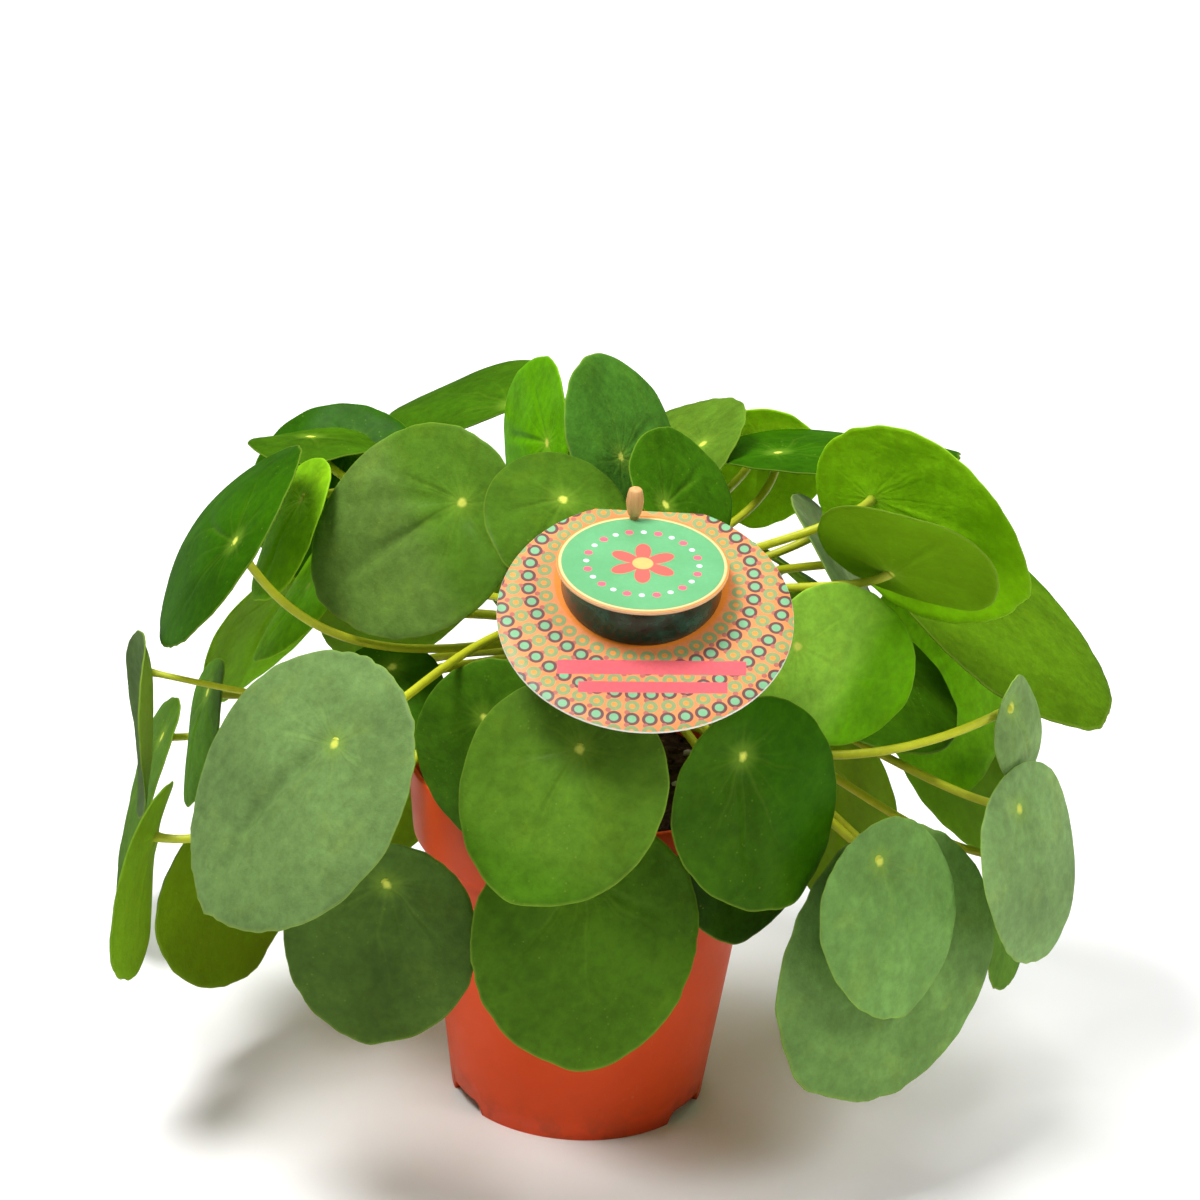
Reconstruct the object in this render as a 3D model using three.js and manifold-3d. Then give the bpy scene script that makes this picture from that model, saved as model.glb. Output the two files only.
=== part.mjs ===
// Potted money plant: a plastic nursery pot full of soil, a short stem with long arching petioles,
// round leaves that stand on the petiole ends, and a round card label on a wooden peg.
// Millimetres, +Z up, origin on the ground under the middle of the pot. The front faces -Y.
import * as THREE from "three";
import { mergeVertices } from "three/addons/utils/BufferGeometryUtils.js";
import Module from "manifold-3d";

const wasm = await Module();
wasm.setup();

// ---------------------------------------------------------------- driving dimensions
const SEAT_GAP = 0.3; // clear space between two pieces that touch

const POT = {
  height: 120,
  lipRadius: 60.5, // outside, at the top
  bandDepth: 25, // height of the straight band under the lip
  bandFootRadius: 58.2, // outside, at the lower edge of the band
  shoulder: 6, // height of the slope from the band down to the body
  bodyTopRadius: 54.6,
  footRadius: 42.6, // outside, where the pot stands
  wall: 1.8,
  lipRound: 0.6, // bevel of the lip and of the foot's outer edge
  innerDrop: 1, // how much higher the shoulder starts inside than outside
  floorUnderside: 4.6,
  floorThickness: 2,
  sides: 40,
};
const NOTCH = {
  bearings: [90, 210, 330], // arches in the foot ring
  halfWidth: 9.5,
  height: 4.4,
  shoulder: 3, // how much narrower the arch is at its top
  shoulderLow: 0.6, // where its corners start, as a share of its height
  reach: [8, 4], // how far the cut goes inside and outside the foot's radius
};
const DRAIN = { count: 6, ringRadius: 26, radius: 4.2, sides: 10 }; // holes in the floor

const SOIL = {
  top: 108,
  lump: 1.4, // height of its lumps
  ringRadii: [12, 24, 36, 46], // rings of points on its surface
  draft: 0.6, // how much wider it is at the top than at the foot of the pot's band
};

const STEM = {
  foot: [2, 8, 88], // in the soil
  bend: [3, 9, 130],
  top: [0, 6, 167],
  radius: 6.2,
  sides: 10,
  steps: 4,
  hole: { clearance: 1.1, shift: 1, above: 6, below: 0.6, sides: 16 }, // the plain hole it stands in
  leafLow: 60, // leaves at this height and lower leave the stem at its lowest node
  leafHigh: 220, // and from this height up at its highest
  nodeLow: 0.4, // the lowest and highest node, as shares of the stem's length
  nodeHigh: 0.96,
};

const BLADE = {
  thickness: 1.1, // over most of the leaf
  rimThickness: 0.8,
  spokes: 16, // points round the edge
  rings: [0.55, 1], // share of the way from the petiole to the edge
  dimple: 1.2, // depth of the dip over the petiole
  dimpleReach: 10,
  ripple: 1, // waviness of the edge
  tip: 0.02, // how far the blunt tip stands out, as a share of the length
  egg: 0.07, // how much narrower the tip half is than the stem half
};
const PETIOLE = {
  radius: 1.5,
  sides: 5,
  steps: 7,
  rise: 55, // degrees above level at the stem
  gap: 0.55, // clear space under the blade
  startReach: 0.34, // length of the first bend, as a share of the distance
  endReach: 0.3,
};

const LABEL = {
  centre: [13.8, -74.6, 201.2], // middle of the card's upper face
  slope: 28, // degrees, down towards the front
  cardRadius: 44.6,
  cardThickness: 0.9,
  cardFlat: 41.4, // from the middle to the straight back edge
  lidCentre: [12.3, -68, 215], // middle of the lid's upper face
  lidSlope: 12.5, // degrees, down towards the front
  lidRadius: 26,
  lidThickness: 1.1,
  blockRadius: 24.4, // the dark block between card and lid
  sides: 40,
};

const PEG = {
  through: [9.2, -44.1, 220.7], // where the peg's axis passes the lid
  lean: 8, // degrees, towards the front
  headLow: 1.0, // bottom of the head above the lid
  headHigh: 9.8,
  headRadius: 2.75,
  headEndRadius: 2,
  neckRadius: 1.4,
  shoulderLow: 6, // top of the shank below the lid
  shankRadius: 2,
  point: 8, // length of the point
  belly: 1, // half the length of the straight middle of the head
  length: 149.4,
  clearance: 0.35, // all round the peg in its holes
  cardBore: [-12, 6], // from where to where the hole in the label runs along the peg
  soilBore: -40, // top of the hole in the soil
  sides: 12,
};

const COLOUR = {
  pot: 0xc4431f,
  soil: 0x3a281c,
  stem: 0x93a82c,
  blade: 0x4f8a1e,
  card: 0xe79a61,
  lid: 0x7fd79a,
  block: 0x14251d,
  peg: 0xd8b070,
};

// One row for each leaf: its name; the point where its upper face meets the line of the petiole; the
// bearing its upper side faces (from +X towards +Y) and its lift above level; the spin of its tip away
// from straight downhill; its length; its width and the tip-ward offset of its middle, both as a share
// of the length; how far its ends (dome) and its sides (fold) bend back, negative where they cup. Then
// whatever differs from the usual: the petiole's radius, the rise and reach of its bends, and what is
// added to its first bend (sway) and to its last (bend).
const LEAVES = [
  // hanging in front of the pot
  ["front_middle", [-4, -95, 165], -114, 31, -12, 71, 0.97, 0.2, 3, 3, { bend: [2, 6, 10] }],
  ["front_low", [0, -84, 116], -73, 10, 0, 82, 0.92, 0.25, 3, 3, { sway: [22, 0, 0], bend: [26, 4, 22] }],
  ["front_right", [45, -90, 163], -56, 6, 21, 72, 0.85, 0.26, 2, 4],
  ["front_right_high", [61, -57, 186], -61, 6, 59, 62, 0.83, 0.28, 3, 2],
  [
    ...["front_left_low", [-61, -85, 112], -97, -1, -6, 73, 0.86, 0.29, 3, 3],
    { sway: [-26, 14, 0], bend: [-14, 6, 16] },
  ],
  [
    ...["front_left_large", [-77, -95, 163], -131, 29, -24, 95, 0.85, 0.21, 5, 3],
    { sway: [-10, 0, 12], bend: [-4, 0, 16] },
  ],
  ["front_left_inner", [-34, -53, 155], -114, 3, 36, 71, 0.92, 0.24, 3, 3],
  ["front_right_low", [48, -61, 127], -62, 5, 0, 54, 0.86, 0.25, 2, 2, { bend: [0, 0, 16] }],
  // on the right
  [
    ...["right_low_front", [90, -75, 123], -49, 11, 10, 67, 0.86, 0.3, 3, 3],
    { sway: [6, -6, 0], bend: [-8, -10, 22] },
  ],
  ["right_low_large", [109, -50, 97], -53, 12, -50, 94, 0.93, 0.26, 3, 3, { bend: [0, 0, 14] }],
  ["right_hanging", [136, -40, 127], -34, 12, 12, 69, 0.88, 0.3, 4, 3],
  [
    ...["right_tilted", [131.8, -30, 157.6], -25, 7, 30, 43, 0.84, 0.33, 3, 3],
    { rise: 10, sway: [0, -38, -20], bend: [-6, -44, -9] },
  ],
  ["right_low_back", [138, 8, 87], -16, 6, 40, 78, 0.95, 0.3, 3, 3],
  ["right_wide", [118.5, 53.5, 173], -18, 58, -23, 101.5, 0.94, 0.24, 4, 4, { bend: [-10, -2, 30] }],
  ["right_under", [98, 10, 153], -27, 62, -107, 80, 0.92, 0.26, 3, 3],
  ["right_low_inner", [111, 50, 152], -44, 25, 0, 77, 0.9, 0.25, 3, 3],
  ["right_high_back", [85, -4, 216], 53, 16, -74, 82, 0.86, 0.23, 3, 3],
  [
    ...["right_high_small", [90, -34, 203], 60, 44, -145, 69, 0.87, 0.27, 2, 2],
    { reach: 0.14, bend: [-6, 8, 0] },
  ],
  ["right_high_front", [71, 22, 194], -3, 37, -17, 64, 0.82, 0.25, 2, 2],
  // on top
  ["top_right", [57, 58, 208], 96, 82, -80, 84, 0.92, 0.26, 4, 3],
  ["top_back", [32, 66, 207], -167, 53, -29, 80, 0.9, 0.28, 3, 3],
  ["top_edge_on", [4.5, 15, 219], -22, 30, 106, 72, 0.89, 0.12, 3, 3],
  ["top_small", [19, -22, 217], -25, 38, 93, 54, 0.82, 0.27, 2, 2],
  ["top_upright", [-19.5, 18, 221.5], -161, 8, -77, 66, 0.84, 0.23, 3, 2],
  ["top_level", [-33.5, 76, 214.4], 176, 69, -49, 68, 0.9, 0.38, 3, 2],
  ["top_front", [-13, -25.5, 218.5], -72, 57, -28, 54, 0.88, 0.14, 3, 2],
  ["top_left_inner", [-45, -13, 211], -118, 25, -48, 78, 0.88, 0.25, 3, 3],
  // on the left
  ["left_top_back", [-86, 71, 199], -111, 42, -5, 66, 1.0, 0.26, 4, 3],
  [
    ...["left_top_middle", [-100, 64, 203.5], 112, 85, 168, 44, 1.0, 0.22, 2, 2],
    { rise: 65, bend: [10, -10, 12] },
  ],
  [
    ...["left_wide", [-115, -25, 199], -172, 35, -68, 90, 0.88, 0.28, 5, 8],
    { sway: [0, 0, -26], bend: [0, 8, -42] },
  ],
  ["left_edge_on", [-98, 12, 200], -162, 26, 0, 52, 0.88, 0.2, 3, 3, { bend: [14, 0, 26] }],
  [
    ...["left_cupped", [-144.2, -10, 146.5], -168, 0, -5, 64, 0.9, 0.31, -3, -5],
    { petiole: 1.15, rise: 20, sway: [0, -16, -30], bend: [0, -14, -6] },
  ],
  ["left_rolled", [-153.5, 88, 79], -172, 15, 0, 83, 0.88, 0.33, 6, 3, { bend: [0, -6, 14] }],
  ["left_low_light", [-138.6, -45, 105], 172, 8, 0, 69, 0.84, 0.24, 3, -2],
  ["left_low_under", [-122.8, 0.6, 81], 142, 4, -20, 78, 0.9, 0.27, 3, 3, { bend: [0, 0, 36] }],
  ["left_inner_high", [-96, 20, 167], -170, 37, 0, 70, 0.7, -0.06, 3, 3],
  ["left_inner_low", [-66, -9, 152], -100, 46, 0, 45, 0.88, 0.27, 3, 3],
  ["left_back_middle", [-131, 36, 120], -165, 14, 20, 52, 0.9, 0.25, 3, 3],
  // behind, seen only in the gaps or not at all from the front
  ["right_top_back", [53, 106, 197], 85, 20, 0, 54, 0.9, 0.25, 3, 2],
  ["right_back_inner", [62, 58, 168], 30, 52, 20, 54, 0.9, 0.25, 3, 2],
  ["back_high", [-6, 94, 155], 88, 30, 8, 72, 0.92, 0.25, 4, 3],
  ["back_left_high", [-70, 98, 150], 122, 24, -14, 76, 0.9, 0.26, 3, 3],
  ["back_right_high", [74, 97, 129], 55, 20, 20, 75, 0.9, 0.26, 3, 3],
  ["back_low", [4, 104, 112], 94, 6, -6, 80, 0.92, 0.25, 3, 3],
  ["back_left_low", [-66, 84, 92], 130, 6, 12, 76, 0.9, 0.26, 3, 3, { bend: [0, 0, 26] }],
  ["back_left_far", [-108, 90, 140], 145, 26, 10, 72, 0.9, 0.26, 3, 3],
  ["back_right_low", [84, 76, 88], 40, 4, -12, 78, 0.9, 0.26, 3, 3, { bend: [0, 0, 26] }],
  ["back_right_far", [122, 88, 104], 38, 14, -20, 76, 0.9, 0.26, 3, 3],
].map(([name, at, bearing, lift, spin, length, width, offset, dome, fold, own]) => ({
  ...{ name, at, bearing, lift, spin, length, width, offset, dome, fold },
  ...own,
}));

// ---------------------------------------------------------------- helpers
const vector = (p) => new THREE.Vector3(...p);
const radians = THREE.MathUtils.degToRad;

// A closed geometry as a solid: only positions are kept, shared corners merged and empty triangles dropped.
function solidOf(geometry) {
  const bare = geometry.index ? geometry.toNonIndexed() : geometry.clone();
  bare.deleteAttribute("normal");
  bare.deleteAttribute("uv");
  const merged = mergeVertices(bare, 1e-4);
  const index = merged.index.array;
  const triangles = [];
  for (let i = 0; i < index.length; i += 3) {
    const [a, b, c] = [index[i], index[i + 1], index[i + 2]];
    if (a !== b && b !== c && c !== a) triangles.push(a, b, c);
  }
  const solidWith = (list) =>
    new wasm.Manifold(
      new wasm.Mesh({
        numProp: 3,
        vertProperties: merged.attributes.position.array,
        triVerts: new Uint32Array(list),
      }),
    );
  const solid = solidWith(triangles);
  return solid.volume() > 0 ? solid : solidWith(triangles.reverse());
}

// A solid back as a geometry.
function geometryOf(solid) {
  const mesh = solid.getMesh();
  const geometry = new THREE.BufferGeometry();
  geometry.setAttribute("position", new THREE.BufferAttribute(mesh.vertProperties, 3));
  geometry.setIndex(new THREE.BufferAttribute(mesh.triVerts, 1));
  geometry.computeVertexNormals();
  return geometry;
}

const material = (color, roughness) => new THREE.MeshStandardMaterial({ color, roughness, metalness: 0 });

function piece(name, solid, look) {
  const mesh = new THREE.Mesh(geometryOf(solid), look);
  mesh.name = name;
  return mesh;
}

// A turned shape about +Z from a profile of [radius, height].
function turned(profile, sides) {
  const points = profile.map(([radius, height]) => new THREE.Vector2(radius, height));
  return new THREE.LatheGeometry(points, sides).rotateX(Math.PI / 2);
}

// A rod from one point to another along a curve, with a regular section.
function rod(curve, radius, sides, steps) {
  const section = new THREE.Shape();
  for (let i = 0; i < sides; i++) {
    const angle = (2 * Math.PI * i) / sides;
    const corner = [radius * Math.cos(angle), radius * Math.sin(angle)];
    if (i === 0) section.moveTo(...corner);
    else section.lineTo(...corner);
  }
  section.closePath();
  return new THREE.ExtrudeGeometry(section, { steps, extrudePath: curve, bevelEnabled: false });
}

// A straight round cutter or rod between two points.
const straightRod = (from, to, radius, sides) =>
  solidOf(rod(new THREE.LineCurve3(vector(from), vector(to)), radius, sides, 1));

// ---------------------------------------------------------------- pot
const bodyTop = POT.height - POT.bandDepth - POT.shoulder;
const bodyRadius = (z) => POT.footRadius + ((POT.bodyTopRadius - POT.footRadius) * z) / bodyTop;
const floorTop = POT.floorUnderside + POT.floorThickness;
const bandFoot = POT.height - POT.bandDepth;

function potSolid() {
  const { wall: w, lipRound, innerDrop } = POT;
  let solid = solidOf(
    turned(
      [
        [0, POT.floorUnderside],
        [bodyRadius(POT.floorUnderside) - w, POT.floorUnderside],
        [bodyRadius(0) - w, 0],
        [bodyRadius(0) - lipRound, 0],
        [bodyRadius(0), lipRound],
        [bodyRadius(bodyTop), bodyTop],
        [POT.bandFootRadius, bandFoot],
        [POT.lipRadius, POT.height - lipRound],
        [POT.lipRadius - lipRound, POT.height],
        [POT.lipRadius - w + lipRound, POT.height],
        [POT.lipRadius - w, POT.height - lipRound],
        [POT.bandFootRadius - w, bandFoot + innerDrop],
        [bodyRadius(bodyTop) - w, bodyTop + innerDrop],
        [bodyRadius(floorTop) - w, floorTop],
        [0, floorTop],
      ],
      POT.sides,
    ),
  );
  for (const bearing of NOTCH.bearings) solid = solid.subtract(notchCutter(bearing));
  for (let i = 0; i < DRAIN.count; i++) {
    const angle = (2 * Math.PI * i) / DRAIN.count;
    const [x, y] = [DRAIN.ringRadius * Math.cos(angle), DRAIN.ringRadius * Math.sin(angle)];
    solid = solid.subtract(straightRod([x, y, 0], [x, y, floorTop + 1], DRAIN.radius, DRAIN.sides));
  }
  return solid;
}

// A low arch through the foot ring at one bearing.
function notchCutter(bearing) {
  const { halfWidth: half, height, shoulder, shoulderLow, reach } = NOTCH;
  const arch = new THREE.Shape();
  arch.moveTo(-half - 1, -1);
  arch.lineTo(half + 1, -1);
  arch.lineTo(half - 1, height * shoulderLow);
  arch.lineTo(half - 1 - shoulder, height);
  arch.lineTo(1 + shoulder - half, height);
  arch.lineTo(1 - half, height * shoulderLow);
  arch.closePath();
  const cutter = new THREE.ExtrudeGeometry(arch, { depth: reach[0] + reach[1], bevelEnabled: false });
  cutter.translate(0, 0, POT.footRadius - reach[0]).rotateX(Math.PI / 2).rotateZ(Math.PI);
  return solidOf(cutter.rotateZ(radians(bearing) - Math.PI / 2));
}

// ---------------------------------------------------------------- soil
function soilSolid(cutters) {
  const inner = (z) => bodyRadius(z) - POT.wall - SEAT_GAP;
  const edge = POT.bandFootRadius - POT.wall - SEAT_GAP;
  const bottom = floorTop + SEAT_GAP;
  const shape = turned(
    [
      [0, bottom],
      [inner(bottom) - 0.2, bottom],
      [inner(bodyTop) - 0.1, bodyTop + POT.innerDrop],
      [edge, bandFoot + POT.innerDrop + SEAT_GAP],
      [edge + SOIL.draft, SOIL.top],
      ...SOIL.ringRadii.toReversed().map((radius) => [radius, SOIL.top]),
      [0, SOIL.top],
    ],
    POT.sides,
  );
  const at = shape.attributes.position;
  for (let i = 0; i < at.count; i++) {
    const [x, y, z] = [at.getX(i), at.getY(i), at.getZ(i)];
    const radius = Math.hypot(x, y);
    if (z < SOIL.top - 0.01 || radius > edge) continue;
    const fine = Math.sin(x * 0.31 + 1) * Math.cos(y * 0.27 - 0.5);
    const lump = fine + 0.6 * Math.sin(x * 0.13 - y * 0.17);
    at.setZ(i, z + SOIL.lump * lump);
  }
  return cutters.reduce((soil, cutter) => soil.subtract(cutter), solidOf(shape));
}

// ---------------------------------------------------------------- leaves
// Which way a leaf lies: its normal, its tip direction and its side direction.
function leafAxes({ bearing, lift, spin }) {
  const [b, l, s] = [bearing, lift, spin].map(radians);
  const normal = new THREE.Vector3(Math.cos(l) * Math.cos(b), Math.cos(l) * Math.sin(b), Math.sin(l));
  const downhill = new THREE.Vector3(Math.sin(l) * Math.cos(b), Math.sin(l) * Math.sin(b), -Math.cos(l));
  const tip = downhill.applyAxisAngle(normal, s);
  const side = new THREE.Vector3().crossVectors(normal, tip);
  return { normal, tip, side };
}

// Height of the upper face over the petiole end, at u along the tip direction and v to the side.
function bladeHeight(leaf, u, v, share, spoke) {
  const half = leaf.length / 2;
  const middle = leaf.offset * leaf.length;
  const bend = (a, b) => -leaf.dome * ((a - middle) / half) ** 2 - leaf.fold * (b / (half * leaf.width)) ** 2;
  const dip = BLADE.dimple * (1 - Math.exp(-(u * u + v * v) / BLADE.dimpleReach ** 2));
  const angle = (2 * Math.PI * spoke) / BLADE.spokes;
  const wave = BLADE.ripple * share ** 3 * Math.sin(3 * angle + leaf.length);
  return bend(u, v) - bend(0, 0) + dip + wave;
}

// A blade lying in its own frame: u along X, v along Y and its upper side along Z, with the petiole end at 0.
function bladeSolid(leaf) {
  const { spokes, rings } = BLADE;
  const half = leaf.length / 2;
  const upper = [[0, 0, 0]];
  rings.forEach((share) => {
    for (let i = 0; i < spokes; i++) {
      const angle = (2 * Math.PI * i) / spokes;
      const point = i === 0 ? BLADE.tip * leaf.length : 0;
      const u = share * (leaf.offset * leaf.length + half * Math.cos(angle) + point);
      const v = share * half * leaf.width * Math.sin(angle) * (1 - BLADE.egg * Math.cos(angle));
      upper.push([u, v, bladeHeight(leaf, u, v, share, i)]);
    }
  });
  const last = rings.length - 1;
  const lower = upper.map(([u, v, h], k) => {
    const onRim = k > last * spokes;
    const share = k === 0 ? 0 : rings[Math.floor((k - 1) / spokes)];
    const height = (a, b) => bladeHeight(leaf, a, b, share, k - 1);
    const slopeU = height(u + 0.5, v) - height(u - 0.5, v);
    const slopeV = height(u, v + 0.5) - height(u, v - 0.5);
    const size = Math.hypot(slopeU, slopeV, 1);
    const depth = onRim ? BLADE.rimThickness : BLADE.thickness;
    return [u + (depth * slopeU) / size, v + (depth * slopeV) / size, h - depth / size];
  });
  const count = upper.length;
  const triangles = [];
  const both = (a, b, c) => triangles.push([a, b, c], [a + count, c + count, b + count]);
  const corner = (ring, i) => 1 + ring * spokes + ((i + spokes) % spokes);
  for (let i = 0; i < spokes; i++) {
    both(0, corner(0, i), corner(0, i + 1));
    for (let ring = 0; ring < last; ring++) {
      both(corner(ring, i), corner(ring + 1, i), corner(ring + 1, i + 1));
      both(corner(ring, i), corner(ring + 1, i + 1), corner(ring, i + 1));
    }
    const [a, b] = [corner(last, i), corner(last, i + 1)];
    triangles.push([a, a + count, b + count], [a, b + count, b]);
  }
  const geometry = new THREE.BufferGeometry();
  geometry.setAttribute("position", new THREE.Float32BufferAttribute([...upper, ...lower].flat(), 3));
  geometry.setIndex(triangles.flat());
  return solidOf(geometry);
}

function bladeMesh(leaf, index) {
  const { normal, tip, side } = leafAxes(leaf);
  const name = "leaf_" + String(index + 1).padStart(2, "0") + "_" + leaf.name;
  const mesh = piece(name, bladeSolid(leaf), material(COLOUR.blade, 0.45));
  mesh.position.set(...leaf.at);
  mesh.quaternion.setFromRotationMatrix(new THREE.Matrix4().makeBasis(tip, side, normal));
  return mesh;
}

// ---------------------------------------------------------------- stem and petioles
const stemCurve = new THREE.CatmullRomCurve3([STEM.foot, STEM.bend, STEM.top].map(vector));

// Where a leaf's petiole leaves the stem: low leaves leave low, high ones near the top.
function rootOf(leaf) {
  const { leafLow, leafHigh, nodeLow, nodeHigh } = STEM;
  const share = THREE.MathUtils.clamp((leaf.at[2] - leafLow) / (leafHigh - leafLow), 0, 1);
  return stemCurve.getPointAt(nodeLow + (nodeHigh - nodeLow) * share);
}

function petioleCurve(leaf) {
  const { normal } = leafAxes(leaf);
  const root = rootOf(leaf);
  const at = vector(leaf.at);
  const distance = root.distanceTo(at);
  const level = new THREE.Vector3().subVectors(at, root).setZ(0).normalize();
  const rise = radians(leaf.rise ?? PETIOLE.rise);
  const start = level.clone().multiplyScalar(Math.cos(rise)).setZ(Math.sin(rise));
  const firstBend = root.clone().addScaledVector(start, PETIOLE.startReach * distance);
  const lastBend = at.clone().addScaledVector(normal, -(leaf.reach ?? PETIOLE.endReach) * distance);
  if (leaf.sway) firstBend.add(vector(leaf.sway));
  if (leaf.bend) lastBend.add(vector(leaf.bend));
  // The end stops short of the blade, so that the lowest corner of its flat face clears the underside.
  const arrival = new THREE.Vector3().subVectors(at, lastBend).normalize();
  const slant = Math.min(1, arrival.dot(normal));
  const thick = leaf.petiole ?? PETIOLE.radius;
  const short = (BLADE.thickness + PETIOLE.gap + thick * Math.sqrt(1 - slant * slant)) / slant;
  return new THREE.CubicBezierCurve3(root, firstBend, lastBend, at.addScaledVector(arrival, -short));
}

function stemSolid() {
  const trunk = solidOf(rod(stemCurve, STEM.radius, STEM.sides, STEM.steps));
  return LEAVES.reduce((joined, leaf) => {
    const thick = leaf.petiole ?? PETIOLE.radius;
    return joined.add(solidOf(rod(petioleCurve(leaf), thick, PETIOLE.sides, PETIOLE.steps)));
  }, trunk);
}

// ---------------------------------------------------------------- label
const upAlong = (lean) => new THREE.Vector3(0, -Math.sin(radians(lean)), Math.cos(radians(lean)));
const alongPeg = (distance) => vector(PEG.through).addScaledVector(upAlong(PEG.lean), distance).toArray();
const pegBore = straightRod(...PEG.cardBore.map(alongPeg), PEG.neckRadius + PEG.clearance, PEG.sides);

// A flat disc of a thickness below its upper face, tilted down towards the front by a slope.
function tiltedDisc(shape, thickness, slope, centre) {
  const options = { depth: thickness, bevelEnabled: false, curveSegments: LABEL.sides };
  const disc = new THREE.ExtrudeGeometry(shape, options).translate(0, 0, -thickness);
  return solidOf(disc.rotateX(radians(slope)).translate(...centre)).subtract(pegBore);
}

function cardSolid() {
  const half = Math.acos(LABEL.cardFlat / LABEL.cardRadius);
  const outline = new THREE.Shape();
  outline.absarc(0, 0, LABEL.cardRadius, Math.PI / 2 + half, Math.PI / 2 - half + 2 * Math.PI, false);
  outline.closePath();
  return tiltedDisc(outline, LABEL.cardThickness, LABEL.slope, LABEL.centre);
}

function lidSolid() {
  const outline = new THREE.Shape().absarc(0, 0, LABEL.lidRadius, 0, 2 * Math.PI, false);
  return tiltedDisc(outline, LABEL.lidThickness, LABEL.lidSlope, LABEL.lidCentre);
}

// The block fills the wedge between the card and the lid, with upright walls on the card.
function blockSolid() {
  const tilt = radians(LABEL.slope);
  const cardNormal = upAlong(LABEL.slope);
  const lidNormal = upAlong(LABEL.lidSlope);
  const cardPoint = vector(LABEL.centre).addScaledVector(cardNormal, SEAT_GAP);
  const lidPoint = vector(LABEL.lidCentre).addScaledVector(lidNormal, -LABEL.lidThickness - SEAT_GAP);
  const foot = vector(LABEL.lidCentre).addScaledVector(lidNormal, -LABEL.lidThickness);
  foot.addScaledVector(cardNormal, -cardNormal.dot(foot.clone().sub(cardPoint)));
  const drum = new THREE.CylinderGeometry(LABEL.blockRadius, LABEL.blockRadius, 1, LABEL.sides);
  drum.rotateX(Math.PI / 2 + tilt).translate(...foot);
  const at = drum.attributes.position;
  const point = new THREE.Vector3();
  for (let i = 0; i < at.count; i++) {
    point.fromBufferAttribute(at, i);
    const isTop = cardNormal.dot(point.clone().sub(foot)) > 0;
    const [onPlane, planeNormal] = isTop ? [lidPoint, lidNormal] : [cardPoint, cardNormal];
    const height = planeNormal.dot(onPlane.clone().sub(point)) / planeNormal.dot(cardNormal);
    point.addScaledVector(cardNormal, height);
    at.setXYZ(i, ...point);
  }
  return solidOf(drum).subtract(pegBore);
}

function pegSolid() {
  const middle = (PEG.headLow + PEG.headHigh) / 2;
  const low = PEG.headHigh - PEG.length;
  const profile = [
    [0, low],
    [PEG.shankRadius, low + PEG.point],
    [PEG.shankRadius, -PEG.shoulderLow],
    [PEG.neckRadius, -PEG.shoulderLow],
    [PEG.neckRadius, PEG.headLow],
    [PEG.headEndRadius, PEG.headLow],
    [PEG.headRadius, middle - PEG.belly],
    [PEG.headRadius, middle + PEG.belly],
    [PEG.headEndRadius, PEG.headHigh],
    [0, PEG.headHigh],
  ];
  const peg = turned(profile, PEG.sides).rotateX(radians(PEG.lean));
  return solidOf(peg.translate(...PEG.through));
}

// ---------------------------------------------------------------- the whole
const group = new THREE.Group();
const { clearance, shift, above, below } = STEM.hole;
const [footX, footY, footZ] = STEM.foot;
const stemHole = straightRod(
  [footX, footY, footZ - below],
  [footX + shift, footY + shift, SOIL.top + above],
  STEM.radius + clearance,
  STEM.hole.sides,
);
const pegHole = straightRod(
  alongPeg(PEG.headHigh - PEG.length - SEAT_GAP),
  alongPeg(PEG.soilBore),
  PEG.shankRadius + PEG.clearance,
  PEG.sides,
);

group.add(piece("pot", potSolid(), material(COLOUR.pot, 0.5)));
group.add(piece("soil", soilSolid([stemHole, pegHole]), material(COLOUR.soil, 0.95)));
group.add(piece("stem_and_petioles", stemSolid(), material(COLOUR.stem, 0.5)));
LEAVES.forEach((leaf, index) => group.add(bladeMesh(leaf, index)));
group.add(piece("label_card", cardSolid(), material(COLOUR.card, 0.6)));
group.add(piece("label_block", blockSolid(), material(COLOUR.block, 0.3)));
group.add(piece("label_lid", lidSolid(), material(COLOUR.lid, 0.6)));
group.add(piece("label_peg", pegSolid(), material(COLOUR.peg, 0.7)));

export default group;
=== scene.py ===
import bpy
import numpy as np
from bpy.props import FloatProperty, FloatVectorProperty, IntProperty, PointerProperty
from mathutils import Matrix, Vector


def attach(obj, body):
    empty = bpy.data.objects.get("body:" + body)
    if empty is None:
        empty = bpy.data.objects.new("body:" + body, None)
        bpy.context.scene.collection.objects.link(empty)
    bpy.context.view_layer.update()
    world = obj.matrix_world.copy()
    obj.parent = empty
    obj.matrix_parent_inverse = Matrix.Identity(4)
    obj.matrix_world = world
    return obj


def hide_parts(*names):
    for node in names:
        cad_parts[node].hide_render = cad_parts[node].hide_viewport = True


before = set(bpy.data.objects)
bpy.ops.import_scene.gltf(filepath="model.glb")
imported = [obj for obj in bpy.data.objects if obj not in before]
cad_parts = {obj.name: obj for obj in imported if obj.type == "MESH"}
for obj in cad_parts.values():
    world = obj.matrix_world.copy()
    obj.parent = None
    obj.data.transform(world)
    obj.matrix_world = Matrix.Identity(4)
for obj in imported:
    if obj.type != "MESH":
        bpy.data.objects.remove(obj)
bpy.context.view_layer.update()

bl_info = {
    "name": "Potted money plant",
    "version": (1, 0, 0),
    "blender": (4, 5, 0),
    "location": "3D View > Sidebar > Money plant",
    "description": "Builds the leaves, stalks, soil, pot and label of a potted money plant",
    "category": "Add Mesh",
}

MM = 0.001

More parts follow.
